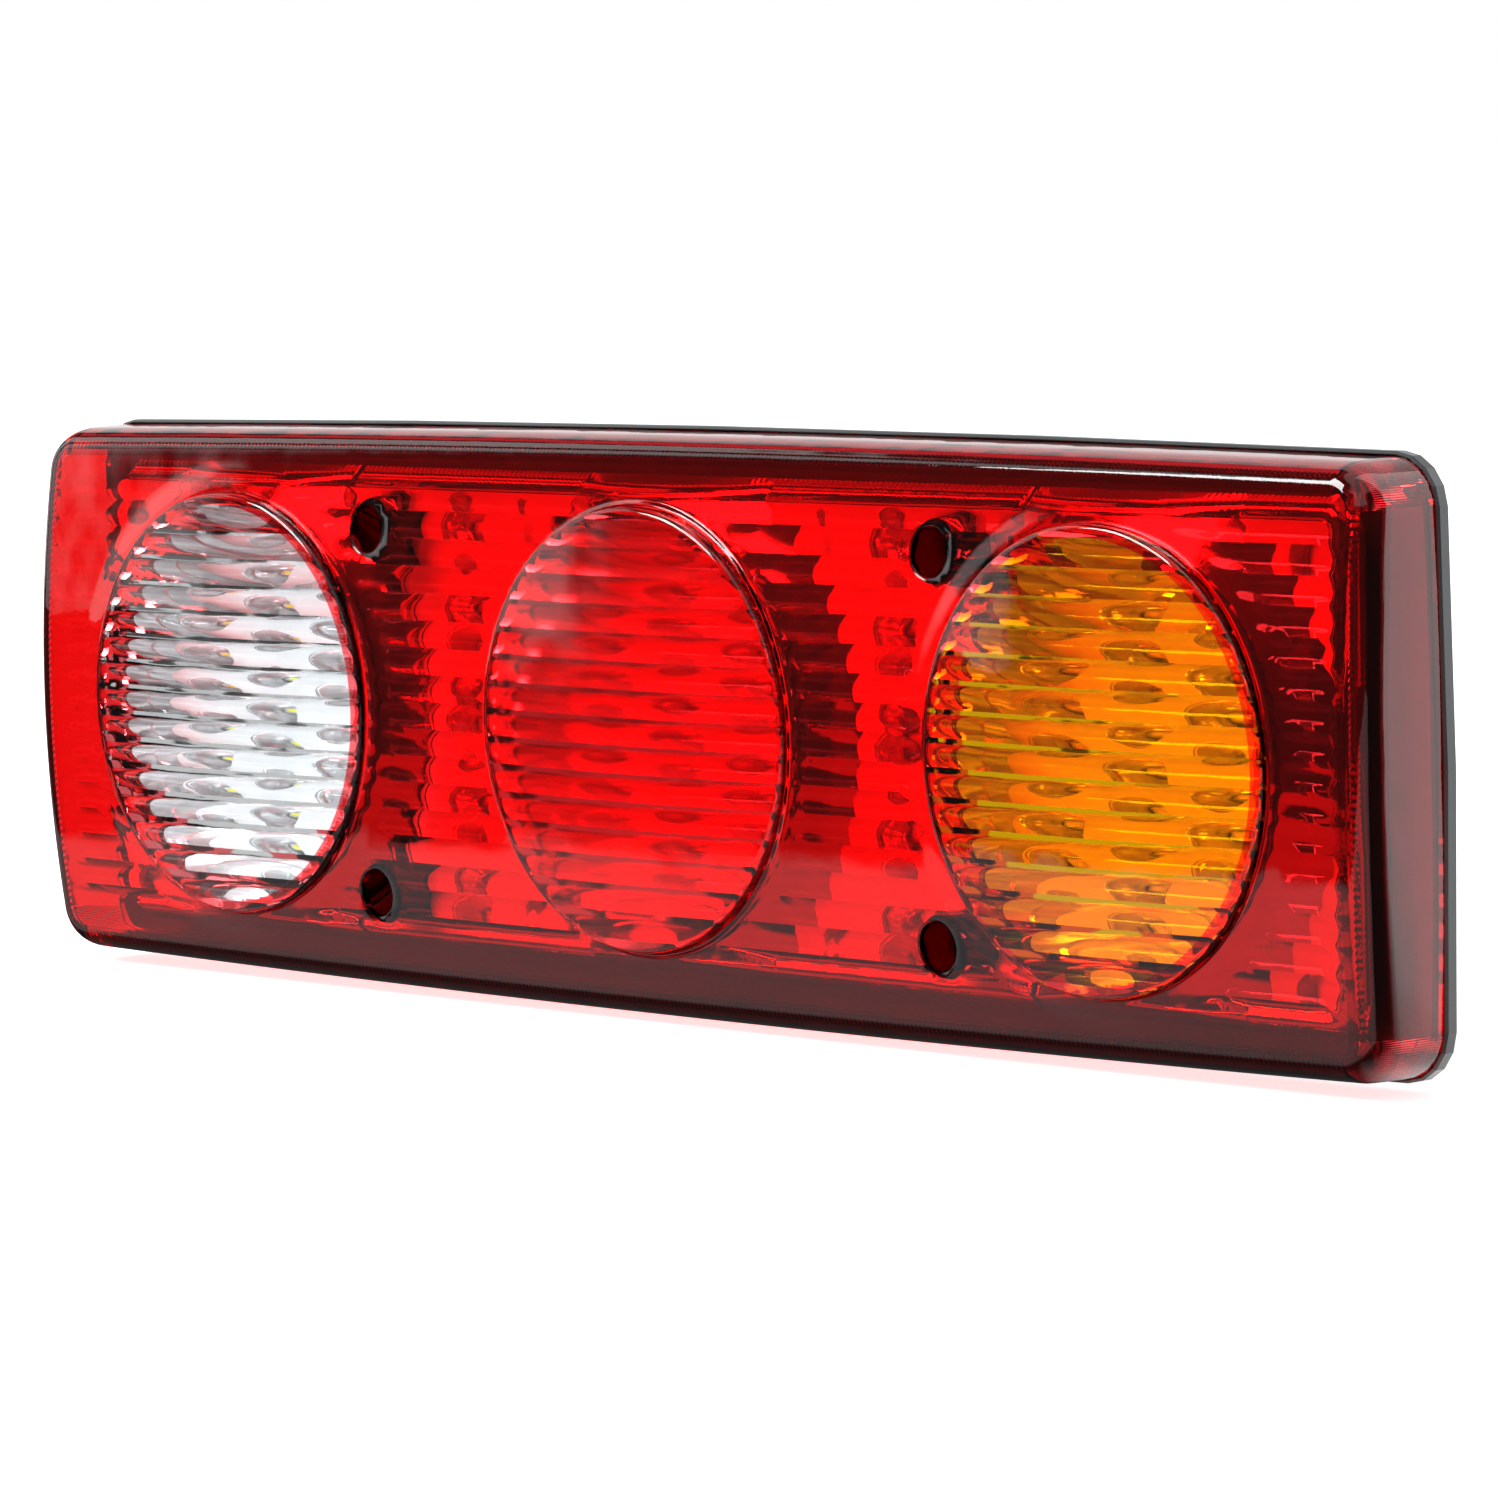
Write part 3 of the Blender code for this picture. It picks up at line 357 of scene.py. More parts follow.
def make_world():
    """White for the camera, a soft fill for matt surfaces, and a dim room for gloss and glass.

    The room's ROOM_LIGHTS are the light behind the lamp, the one overhead, and windows and soft
    boxes to the left and right. Where two of them meet, the brighter one shows.
    """
    world = bpy.data.worlds.new("studio")
    world.use_nodes = True
    tree = world.node_tree
    tree.nodes.clear()
    direction = tree.nodes.new("ShaderNodeTexCoord").outputs["Generated"]
    way = node(tree, "ShaderNodeSeparateXYZ", Vector=direction)
    front = node(tree, "ShaderNodeMath", MULTIPLY, i0=way.outputs["Y"], i1=-1.0).outputs[0]
    turn = node(tree, "ShaderNodeMath", {"operation": "ARCTAN2"}, i0=way.outputs["X"], i1=front).outputs[0]
    rise = node(tree, "ShaderNodeMath", {"operation": "ARCSINE"}, i0=way.outputs["Z"]).outputs[0]
    light = None
    for *sides, strength, edge in ROOM_LIGHTS:
        turn_from, turn_to, lowest, highest, edge = map(math.radians, (*sides, edge))
        across = between(tree, turn, turn_from, turn_to, edge)
        up = between(tree, rise, lowest, highest, edge)
        both = node(tree, "ShaderNodeMath", MULTIPLY, i0=across, i1=up).outputs[0]
        lit = node(tree, "ShaderNodeMath", MULTIPLY, i0=both, i1=strength).outputs[0]
        if light is None:
            light = lit
        else:
            light = node(tree, "ShaderNodeMath", MAXIMUM, i0=light, i1=lit).outputs[0]
    level = node(tree, "ShaderNodeMath", MAXIMUM, i0=light, i1=ROOM_DARK).outputs[0]
    path = node(tree, "ShaderNodeLightPath").outputs
    gloss = node(tree, "ShaderNodeMath", MAXIMUM, i0=path["Is Glossy Ray"], i1=path["Is Transmission Ray"])
    fill = node(tree, "ShaderNodeBackground", Color=linear("#F4F6FA"), Strength=FILL).outputs[0]
    room = node(tree, "ShaderNodeBackground", Color=WHITE, Strength=level).outputs[0]
    white = node(tree, "ShaderNodeBackground", Color=WHITE, Strength=1.0).outputs[0]
    unseen = node(tree, "ShaderNodeMixShader", i0=gloss.outputs[0], i1=fill, i2=room).outputs[0]
    mixed = node(tree, "ShaderNodeMixShader", i0=path["Is Camera Ray"], i1=unseen, i2=white)
    node(tree, "ShaderNodeOutputWorld", Surface=mixed.outputs[0])
    scene.world = world


make_camera()
make_world()
make_key_light()


# ---------------------------------------------------------------------------------------------
# Surfaces
# ---------------------------------------------------------------------------------------------
def to_world(points):
    """Lamp axes to the frame's axes: x stays, z becomes -Y and y becomes Z."""
    x, y, z = np.moveaxis(np.asarray(points, float), -1, 0)
    return np.stack([x, -z, y], axis=-1)


def grid(points, wrap_columns=False):
    """Corner points (rows, columns, 3) joined into quads, each row closed to a loop where asked."""
    rows, columns = points.shape[:2]
    index = np.arange(rows * columns).reshape(rows, columns)
    if wrap_columns:
        index = np.column_stack([index, index[:, 0]])
    corners = [index[:-1, :-1], index[:-1, 1:], index[1:, 1:], index[1:, :-1]]
    return points.reshape(-1, 3), np.stack(corners, axis=-1).reshape(-1, 4)


def circle(centre, radius, sides):
    """Points centre + radius (cos t, sin t), t from 0 round to a full turn."""
    turn = 2 * np.pi * np.arange(sides) / sides
    return np.column_stack([centre[0] + radius * np.cos(turn), centre[1] + radius * np.sin(turn)])


def at_height(points, height):
    """Flat points (n, 2) lifted to one height or to a height each."""
    return np.column_stack([points, np.broadcast_to(height, len(points))])


def turned(centre, profile, sides):
    """A profile of (radius, height) turned about the centre: one ring of points for each pair."""
    rings = [at_height(circle(centre, radius, sides), height) for radius, height in profile]
    return grid(np.stack(rings), wrap_columns=True)


def outline(inset):
    """Points of the lamp's outline moved inwards by inset.

    A rounded rectangle: quarter circles of radius CORNER_RADIUS - inset, but at least LEAST_RADIUS,
    at its corners, straight steps between them, and sides that bow outwards by b (1 - s^2), s from
    -1 to 1 along the side.
    """
    half_x, half_y = LENGTH / 2 - inset, HEIGHT / 2 - inset
    radius = max(CORNER_RADIUS - inset, LEAST_RADIUS)
    signs = [(1, -1, -90), (1, 1, 0), (-1, 1, 90), (-1, -1, 180)]
    points = []
    for (side, rise, start), steps in zip(signs, (OUTLINE_SHORT_STEPS, OUTLINE_LONG_STEPS) * 2):
        centre = np.array([side * (half_x - radius), rise * (half_y - radius)])
        turn = np.radians(start + np.linspace(0, 90, OUTLINE_CORNER_STEPS + 1))
        arc = centre + radius * np.column_stack([np.cos(turn), np.sin(turn)])
        if steps == OUTLINE_SHORT_STEPS:
            end = np.array([side * half_x, -rise * (half_y - radius)])
        else:
            end = np.array([-side * (half_x - radius), rise * half_y])
        share = np.linspace(0, 1, steps + 1)[1:-1, None]
        points += [arc, arc[-1] + share * (end - arc[-1])]
    x, y = np.vstack(points).T
    bowed_x = x + np.sign(x) * END_BOW * (x / half_x) ** 2 * (1 - (y / half_y) ** 2)
    bowed_y = y + np.sign(y) * LONG_BOW * (y / half_y) ** 2 * (1 - (x / half_x) ** 2)
    return np.column_stack([bowed_x, bowed_y])


def inward(loop):
    """Unit vectors that point into a closed loop of flat points, square to it."""
    along = np.roll(loop, -1, axis=0) - np.roll(loop, 1, axis=0)
    across = np.column_stack([-along[:, 1], along[:, 0]])
    return across / np.linalg.norm(across, axis=1, keepdims=True)


def face_height(y):
    """The crowned face: a parabola across the height, highest along the middle."""
    return EDGE_FRONT + FACE_CROWN * (1 - (y / (HEIGHT / 2)) ** 2)


def rib_swell(y):
    """Ribs side by side, each half a sine wave RIB_PITCH wide; creases at the joints."""
    return np.abs(np.sin(np.pi * (y / RIB_PITCH + RIB_COUNT / 2)))


def lattice(half_x, half_y, step_x, steps_in_rib=4):
    """Flat points in columns step_x apart and rows that fall on each rib's crease and top."""
    step_y = RIB_PITCH / steps_in_rib
    count_x, count_y = math.ceil(half_x / step_x), math.ceil(half_y / step_y)
    columns = np.arange(-count_x, count_x + 1) * step_x
    rows = (np.arange(-count_y, count_y + 1) + steps_in_rib / 2) * step_y
    return np.stack(np.meshgrid(columns, rows), axis=-1).reshape(-1, 2)


def sheet(boundary, holes, filling, height, clearance=CLEARANCE):
    """A flat region filled with triangles and then lifted to height(x, y).

    boundary is its outer loop, which is convex, holes are (centre, radius, sides) circles cut from
    it, and filling are the points inside, of which those nearer than clearance to an edge drop out.
    """
    keep = np.ones(len(filling), bool)
    after = np.roll(boundary, -1, axis=0)
    normal = inward(boundary)
    for start in range(0, len(filling), 2000):
        part = filling[start : start + 2000]
        depth = ((part[:, None] - boundary[None]) * normal[None]).sum(axis=2).min(axis=1)
        keep[start : start + 2000] = depth > clearance
    for centre, radius, _ in holes:
        keep &= np.hypot(*(filling - centre).T) > radius + clearance
    loops = [boundary, *(circle(*hole) for hole in holes)]
    edges, start = [], 0
    for loop in loops:
        index = start + np.arange(len(loop))
        edges += np.column_stack([index, np.roll(index, -1)]).tolist()
        start += len(loop)
    flat = np.vstack([*loops, filling[keep]])
    found, _, triangles, _, _, _ = delaunay_2d_cdt(flat.tolist(), edges, [], 1, 1e-9)
    found, triangles = np.array([tuple(point) for point in found]), np.array(triangles)
    middle = found[triangles].mean(axis=1)
    solid = np.ones(len(triangles), bool)
    for centre, radius, _ in holes:
        solid &= np.hypot(*(middle - centre).T) > radius
    return at_height(found, height(*found.T)), triangles[solid]


def make_piece(name, surfaces, finishes, stands_for=(), sharp_above=35, outward=True):
    """One mesh of several surfaces: seams merged, faces turned outwards and creases kept sharp.

    A surface is (points, faces), or (points, faces, which of the finishes each face takes).
    """
    points, faces, finish_of, start = [], [], [], 0
    for surface_points, surface_faces, *which in surfaces:
        points.append(to_world(surface_points))
        faces += (surface_faces + start).tolist()
        finish_of.append(np.broadcast_to(which[0] if which else 0, len(surface_faces)))
        start += len(surface_points)
    mesh = bpy.data.meshes.new(name)
    mesh.from_pydata(np.vstack(points).tolist(), [], faces)
    mesh.polygons.foreach_set("material_index", np.concatenate(finish_of).astype(np.int32))
    work = bmesh.new()
    work.from_mesh(mesh)
    bmesh.ops.remove_doubles(work, verts=work.verts, dist=MERGE_DISTANCE)
    if outward:
        bmesh.ops.recalc_face_normals(work, faces=work.faces)
    work.to_mesh(mesh)
    work.free()
    for finish in finishes:
        mesh.materials.append(finish)
    mesh.shade_smooth()
    mesh.set_sharp_from_angle(angle=math.radians(sharp_above))
    piece = bpy.data.objects.new(name, mesh)
    scene.collection.objects.link(piece)
    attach(piece, "root")
    if stands_for:
        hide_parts(*stands_for)
    return piece


# ---------------------------------------------------------------------------------------------
# Materials
# ---------------------------------------------------------------------------------------------
def new_material(name):
    """An empty node tree with an output, and the coordinates of the piece itself."""
    made = bpy.data.materials.new(name)
    made.use_nodes = True
    tree = made.node_tree
    tree.nodes.clear()
    place = tree.nodes.new("ShaderNodeTexCoord").outputs["Object"]
    return made, tree, place


def acrylic(name, colour, wave=0.25, roughness=0.03):
    """Injection-moulded clear acrylic (PMMA): glossy and see-through, with a faint flow wave.

    The wave is about 16 mm long and only bends highlights; a finer one of 2 mm is the tool's
    polish. A lamp's light goes straight through, in the acrylic's tint, to what lies behind.
    """
    made, tree, place = new_material(name)
    flow = node(tree, "ShaderNodeTexNoise", Vector=place, Scale=62.0, Detail=1.0)
    polish = node(tree, "ShaderNodeTexNoise", Vector=place, Scale=480.0, Detail=2.0)
    swell = node(tree, "ShaderNodeBump", Height=flow.outputs["Fac"], Strength=wave, Distance=0.0006)
    both = node(
        tree,
        "ShaderNodeBump",
        Height=polish.outputs["Fac"],
        Normal=swell.outputs[0],
        Strength=0.12,
        Distance=0.00005,
    )
    glass = node(
        tree,
        "ShaderNodeBsdfPrincipled",
        Base_Color=linear(colour),
        Roughness=roughness,
        IOR=1.49,
        Specular_IOR_Level=0.2,
        Transmission_Weight=1.0,
        Normal=both.outputs[0],
    )
    through = node(tree, "ShaderNodeBsdfTransparent", Color=linear(colour)).outputs[0]
    path = node(tree, "ShaderNodeLightPath").outputs
    mixed = node(tree, "ShaderNodeMixShader", i0=path["Is Shadow Ray"], i1=glass.outputs[0], i2=through)
    node(tree, "ShaderNodeOutputMaterial", Surface=mixed.outputs[0])
    return made


def metallised_plastic(name, metallic):
    """ABS with a vacuum-coated aluminium film: bright, with the mould's unevenness of some 6 mm."""
    made, tree, place = new_material(name)
    uneven = node(tree, "ShaderNodeTexNoise", Vector=place, Scale=160.0, Detail=3.0).outputs["Fac"]
    tone = node(tree, "ShaderNodeMix", COLOURS, Factor=uneven, A=linear("#DDE0E2"), B=linear("#F2F4F5"))
    gloss = node(tree, "ShaderNodeMapRange", Value=uneven, To_Min=0.06, To_Max=0.12)
    bump = node(tree, "ShaderNodeBump", Height=uneven, Strength=0.2, Distance=0.0004)
    shader = node(
        tree,
        "ShaderNodeBsdfPrincipled",
        Base_Color=tone.outputs["Result"],
        Metallic=metallic,
        Roughness=gloss.outputs[0],
        Normal=bump.outputs[0],
    )
    node(tree, "ShaderNodeOutputMaterial", Surface=shader.outputs[0])
    return made


def satin_coat(name, metallic, dark, light):
    """The same film over an etched mould face, which breaks it up to an even silvery white.

    The etching is about 0.4 mm across, and the tone changes a little over some 18 mm.
    """
    made, tree, place = new_material(name)
    etching = node(tree, "ShaderNodeTexNoise", Vector=place, Scale=2500.0, Detail=1.0).outputs["Fac"]
    cloud = node(tree, "ShaderNodeTexNoise", Vector=place, Scale=55.0, Detail=2.0).outputs["Fac"]
    tone = node(tree, "ShaderNodeMix", COLOURS, Factor=cloud, A=linear(dark), B=linear(light))
    bump = node(tree, "ShaderNodeBump", Height=etching, Strength=0.3, Distance=0.00003)
    shader = node(
        tree,
        "ShaderNodeBsdfPrincipled",
        Base_Color=tone.outputs["Result"],
        Metallic=metallic,
        Roughness=0.42,
        Normal=bump.outputs[0],
    )
    node(tree, "ShaderNodeOutputMaterial", Surface=shader.outputs[0])
    return made


def plastic_or_rubber(name, dark, light, roughness, grain, depth):
    """Moulded ABS, rubber or laminate: a fine spark-eroded grain and a little uneven tone.

    The grain has so many waves to the metre, 1400 for one of 0.7 mm; the tone's is near 29 mm.
    """
    made, tree, place = new_material(name)
    coarse = node(tree, "ShaderNodeTexNoise", Vector=place, Scale=35.0, Detail=2.0).outputs["Fac"]
    fine = node(tree, "ShaderNodeTexNoise", Vector=place, Scale=grain, Detail=2.0).outputs["Fac"]
    tone = node(tree, "ShaderNodeMix", COLOURS, Factor=coarse, A=linear(dark), B=linear(light))
    bump = node(tree, "ShaderNodeBump", Height=fine, Strength=0.5, Distance=depth)
    shader = node(
        tree,
        "ShaderNodeBsdfPrincipled",
        Base_Color=tone.outputs["Result"],
        Roughness=roughness,
        Normal=bump.outputs[0],
    )
    node(tree, "ShaderNodeOutputMaterial", Surface=shader.outputs[0])
    return made


def steel(name, dark, light, roughness):
    """Plated or blackened steel: the bath's cloudy tone and tumbling dents, both of some 5 mm."""
    made, tree, place = new_material(name)
    cloud = node(tree, "ShaderNodeTexNoise", Vector=place, Scale=220.0, Detail=3.0).outputs["Fac"]
    tone = node(tree, "ShaderNodeMix", COLOURS, Factor=cloud, A=linear(dark), B=linear(light))
    bump = node(tree, "ShaderNodeBump", Height=cloud, Strength=0.2, Distance=0.0001)
    shader = node(
        tree,
        "ShaderNodeBsdfPrincipled",
        Base_Color=tone.outputs["Result"],
        Metallic=1.0,
        Roughness=roughness,
        Normal=bump.outputs[0],
    )
    node(tree, "ShaderNodeOutputMaterial", Surface=shader.outputs[0])
    return made


# Acrylic: a darker red on the rounded edge and a near-black red in the wells are painted shade,
# and the red dome's wavier and less polished optic blurs what is behind it
RED_PMMA = acrylic("red_pmma", "#FF2A30")
# Painted shade: a darker red for the lens's rounded edge
EDGE_PAINTED_SHADE_PMMA = acrylic("red_pmma_edge_painted_shade", "#B81A22")
# Painted shade: a near-black red for the screw wells
WELL_PAINTED_SHADE_PMMA = acrylic("red_pmma_well_painted_shade", "#3C060A")
RED_OPTIC_PMMA = acrylic("red_pmma_optic", "#FF2A30", 0.6, 0.12)
CLEAR_PMMA = acrylic("clear_pmma", "#F8FAFB", 0.5)
AMBER_PMMA = acrylic("amber_pmma", "#FFC200", 0.5)

# Reflector film: bright on the bowls' rims and the bevels, softer on their slopes and in the cups,
# and satin where the mould is etched, on the flat fields and, whiter, on the bowls' floors
METALLISED = metallised_plastic("metallised_abs", 0.65)
BRIGHT_METALLISED = metallised_plastic("bright_metallised_abs", 1.0)
SATIN = satin_coat("satin_metallised_abs", 0.35, "#DCE2E3", "#EEF1F1")
WHITE_SATIN = satin_coat("white_satin_abs", 0.1, "#C2C9CB", "#DBE0E1")

# Black ABS and rubber look grey where light grazes them; the laminate and phosphor are matt
BLACK_ABS = plastic_or_rubber("black_abs", "#2E3233", "#3C4142", 0.28, 1400.0, 0.00004)
EPDM = plastic_or_rubber("epdm_rubber", "#141516", "#202122", 0.75, 900.0, 0.00005)
LAMINATE = plastic_or_rubber("board_laminate", "#C9CCC6", "#DADCD7", 0.45, 700.0, 0.00002)
PHOSPHOR = plastic_or_rubber("diode_phosphor", "#E3E000", "#F2EE3C", 0.35, 900.0, 0.00002)
WIRE_PVC = plastic_or_rubber("wire_pvc", "#1A1B1C", "#262728", 0.5, 900.0, 0.00002)

# Bright zinc on the fasteners behind, black oxide on the screws that show in front
ZINC_STEEL = steel("zinc_plated_steel", "#AEB2B5", "#C7CACC", 0.3)
BLACK_STEEL = steel("black_oxide_steel", "#2A2B2D", "#3C3D40", 0.38)


# ---------------------------------------------------------------------------------------------
# Red outer lens
# ---------------------------------------------------------------------------------------------
def lens_ring(inset, drop, flute_turn=None):
    """The outline moved in by inset and lifted to drop below the face, with flutes cut into it.

    The flutes are a zigzag, one groove to each two steps along the outline, SKIRT_FLUTE deep on
    the skirt, where flute_turn is 0, and FILLET_FLUTE deep on the face, where it is 90 degrees.
    """
    loop = outline(inset)
    height = face_height(loop[:, 1]) - drop
    if flute_turn is not None:
        depth = SKIRT_FLUTE + (FILLET_FLUTE - SKIRT_FLUTE) * math.sin(flute_turn)
        groove = depth * (np.arange(len(loop)) % 2)
        loop = loop + inward(loop) * (groove * math.cos(flute_turn))[:, None]
        height = height - groove * math.sin(flute_turn)
    return at_height(loop, height)


def foot_ring(inset, fluted=False):
    """The outline moved in by inset, at the foot of the skirt, smooth or with the skirt's flutes."""
    loop = outline(inset)
    if fluted:
        loop = loop + inward(loop) * (SKIRT_FLUTE * (np.arange(len(loop)) % 2))[:, None]
    return at_height(loop, FLANGE_FRONT)


def rings_between(loop, profile, centre):
    """Rings round a centre that lead on from a loop of a sheet, point by point.

    Each is (radius, height, on_face), its height measured down from the face where on_face is true.
    """
    rows = [loop]
    turn = np.arctan2(*(loop[:, :2] - centre).T[::-1])
    for radius, height, on_face in profile:
        flat = np.column_stack([centre[0] + radius * np.cos(turn), centre[1] + radius * np.sin(turn)])
        rows.append(at_height(flat, face_height(flat[:, 1]) - height if on_face else height))
    return rows


def seat_height(loop):
    """The front of the seat: the crowned face, raised by COLLAR_SHARE of the way to the dome's rim."""
    base = face_height(loop[:, 1])
    return base + FACE_LIP + COLLAR_SHARE * (FACE_TOP - base)


def collar_surface(centre, foot, inner_height):
    """The raised ring round a dome: a soft slope up from the face to the seat of the dome.

    Its height over the face grows by s = 3t^2 - 2t^3 from the foot in to the seat and ends in a
    rounded lip. Behind, the wall keeps the thickness of the face.
    """
    seat = DOME_RADIUS + SEAT_GAP
    lip = COLLAR_LIP
    front, back = [], []
    for share in np.linspace(0, 1, COLLAR_ROWS):
        loop = circle(centre, foot + share * (seat + lip - foot), DOME_SIDES)
        rise = share**2 * (3 - 2 * share)
        base = face_height(loop[:, 1])
        front.append(at_height(loop, base + (seat_height(loop) - base) * rise))
        base = inner_height(*loop.T)
        back.append(at_height(loop, base + (seat_height(loop) - LENS_WALL - base) * rise))
    for turn in np.radians([30, 60, 90]):
        loop = circle(centre, seat + lip * (1 - math.sin(turn)), DOME_SIDES)
        front.append(at_height(loop, seat_height(loop) - lip * (1 - math.cos(turn))))
    loop = circle(centre, seat, DOME_SIDES)
    back.append(at_height(loop, seat_height(loop) - LENS_WALL))
    return grid(np.stack(front + back[::-1]), wrap_columns=True)


def make_outer_lens():
    """The shell: smooth outside, fluted inside its skirt and ribbed inside its face.

    The skirt leans straight up to SKIRT_TOP, where the rounding takes over: a quarter ellipse, as
    wide as EDGE_ROUNDING and as deep as ROUNDING_DEPTH. The face follows, with a collar round each
    dome's hole and a well, floored and bored, for each lens screw.
    """
    turns = np.radians(np.linspace(0, 90, ROUNDING_ROWS))
    outer_rings = [foot_ring(LENS_STEP)]
    for turn in turns:
        inset = ROUND_INSET + EDGE_ROUNDING * (1 - math.cos(turn))
        outer_rings.append(lens_ring(inset, ROUNDING_DEPTH * (1 - math.sin(turn))))
    outer_rings.append(lens_ring(FACE_INSET, 0))
    inner_base = ROUND_INSET + LENS_WALL
    inner_rings = [foot_ring(LENS_STEP + LENS_WALL, True)]
    for turn in turns[::3]:
        inset = inner_base + INNER_ROUNDING * (1 - math.cos(turn))
        inner_rings.append(lens_ring(inset, ROUNDING_DEPTH - INNER_DEPTH * math.sin(turn), turn))
    inner_rings.append(lens_ring(FACE_INSET - FLUTE_END, LENS_WALL, math.pi / 2))
    inner_rings.append(lens_ring(FACE_INSET, LENS_WALL))

    collar_holes = [((x, 0.0), COLLAR_FOOT[chamber], DOME_SIDES) for chamber, x in CHAMBERS.items()]
    well_holes = [(place, WELL_RADIUS + WELL_LIP, WELL_SIDES) for place in LENS_SCREWS]
    filling = lattice(LENGTH / 2, HEIGHT / 2, FACE_STEP)
    boundary = outline(FACE_INSET)
    outer_face = sheet(boundary, collar_holes + well_holes, filling, lambda x, y: face_height(y))

    def inner_height(x, y):
        """The back of the face: its ribs die out over RIB_FADE at the long sides and the ends."""
        edge = np.clip((RIB_END - np.abs(y)) / RIB_FADE, 0, 1)
        edge = edge * np.clip((LENGTH / 2 - FACE_INSET - RIB_MARGIN - np.abs(x)) / RIB_FADE, 0, 1)
        return face_height(y) - LENS_WALL - FACE_RIB_SHARE * RIB_HEIGHT * (rib_swell(y) - 0.5) * edge

    well_outer = WELL_RADIUS + WELL_WALL
    inner_wells = [(place, well_outer, WELL_SIDES) for place in LENS_SCREWS]
    inner_face = sheet(boundary, collar_holes + inner_wells, filling, inner_height)

    surfaces = [outer_face, inner_face]
    points, faces = grid(np.stack(outer_rings), wrap_columns=True)
    middle = points[faces].mean(axis=1)
    # Painted shade: the rounding's faces, all but those at its left end, take the darker red
    rounded = (middle[:, 2] > EDGE_SHADE_LOW) & (middle[:, 0] > EDGE_SHADE_FROM)
    surfaces += [(points, faces, np.where(rounded, 1, 0)), grid(np.stack(inner_rings), wrap_columns=True)]
    surfaces.append(grid(np.stack([outer_rings[0], inner_rings[0]]), wrap_columns=True))

    surfaces += [collar_surface(centre, foot, inner_height) for centre, foot, _ in collar_holes]
    tube_low = FLANGE_FRONT + GAP
    for centre, radius, sides in well_holes:
        loop = circle(centre, radius, sides)
        start = at_height(loop, face_height(loop[:, 1]))
        end_loop = circle(centre, well_outer, sides)
        end = at_height(end_loop, inner_height(*end_loop.T))
        profile = [
            (WELL_RADIUS + WELL_LIP / 3, WELL_LIP / 3, True),
            (WELL_RADIUS, WELL_LIP, True),
            (WELL_RADIUS, WELL_FLOOR, False),
            (LENS_SCREW_BORE, WELL_FLOOR, False),
            (LENS_SCREW_BORE, tube_low, False),
            (WELL_TUBE, tube_low, False),
            (WELL_TUBE, WELL_HEAD_LOW, False),
            (well_outer, WELL_HEAD_LOW, False),
        ]
        rings = [*rings_between(start, profile, centre), end]
        # Painted shade: each well, with its wall, floor and tube, takes the near-black red
        surfaces.append((*grid(np.stack(rings), wrap_columns=True), 2))
    # Finishes: the plain red, painted shade on the rounding and painted shade in the wells
    finishes = [RED_PMMA, EDGE_PAINTED_SHADE_PMMA, WELL_PAINTED_SHADE_PMMA]
    make_piece("outer_lens_shell", surfaces, finishes, ["outer_lens"])


# ---------------------------------------------------------------------------------------------
# Domes
# ---------------------------------------------------------------------------------------------
def make_dome(name, x, finish, node_name):
    """One optic: a smooth crown outside, z = apex - rise (r / R)^2, and ribs along X inside.

    Its edge is rounded by DOME_EDGE, and faces further out than DOME_SEAT, which stand in the
    collar, take the collar's red.
    """
    rise = DOME_APEX - DOME_RIM
    shares = np.linspace(0, DOME_CROWN_SHARE, CROWN_ROWS)
    crown = [(DOME_RADIUS * share, DOME_APEX - rise * share**2) for share in shares]
    for turn in np.radians([0, 20, 40, 55, 70, 80, 90]):
        radius = DOME_RADIUS - DOME_EDGE * (1 - math.sin(turn))
        height = DOME_APEX - rise * (radius / DOME_RADIUS) ** 2
        crown.append((radius, height - DOME_EDGE * (1 - math.cos(turn))))
    profile = [*crown, (DOME_RADIUS, DOME_BACK), (DOME_HOLLOW, DOME_BACK)]
    centre = (x, 0.0)

    def inner_height(px, py):
        """The ribbed inside: the crown's own curve, DOME_WALL further back."""
        radial = ((px - x) ** 2 + py**2) / DOME_RADIUS**2
        return DOME_APEX - DOME_WALL - rise * radial - RIB_HEIGHT * rib_swell(py)

    boundary = circle(centre, DOME_HOLLOW, DOME_SIDES)
    filling = lattice(DOME_HOLLOW, DOME_HOLLOW, DOME_STEP, 8) + [x, 0]
    inside = sheet(boundary, [], filling, inner_height, FINE_CLEARANCE)
    wall = np.stack([at_height(boundary, DOME_BACK), at_height(boundary, inner_height(*boundary.T))])
    surfaces = []
    for points, faces in (turned(centre, profile, DOME_SIDES), inside, grid(wall, wrap_columns=True)):
        middle = points[faces].mean(axis=1)
        seated = np.hypot(middle[:, 0] - x, middle[:, 1]) > DOME_SEAT
        surfaces.append((points, faces, np.where(seated, 1, 0)))
    make_piece(name, surfaces, [finish, RED_PMMA], [node_name])


# ---------------------------------------------------------------------------------------------
# Reflectors
# ---------------------------------------------------------------------------------------------
def bowl_distance(x, y):
    """Distance from the nearest chamber's axis."""
    return np.min([np.hypot(x - centre, y) for centre in CHAMBERS.values()], axis=0)


def tray_height(x, y):
    """The trays' front: BOWL_RISES over BOWL_RADII round each chamber's axis, flat elsewhere."""
    return REFLECTOR_FACE + np.interp(bowl_distance(x, y), BOWL_RADII, BOWL_RISES)


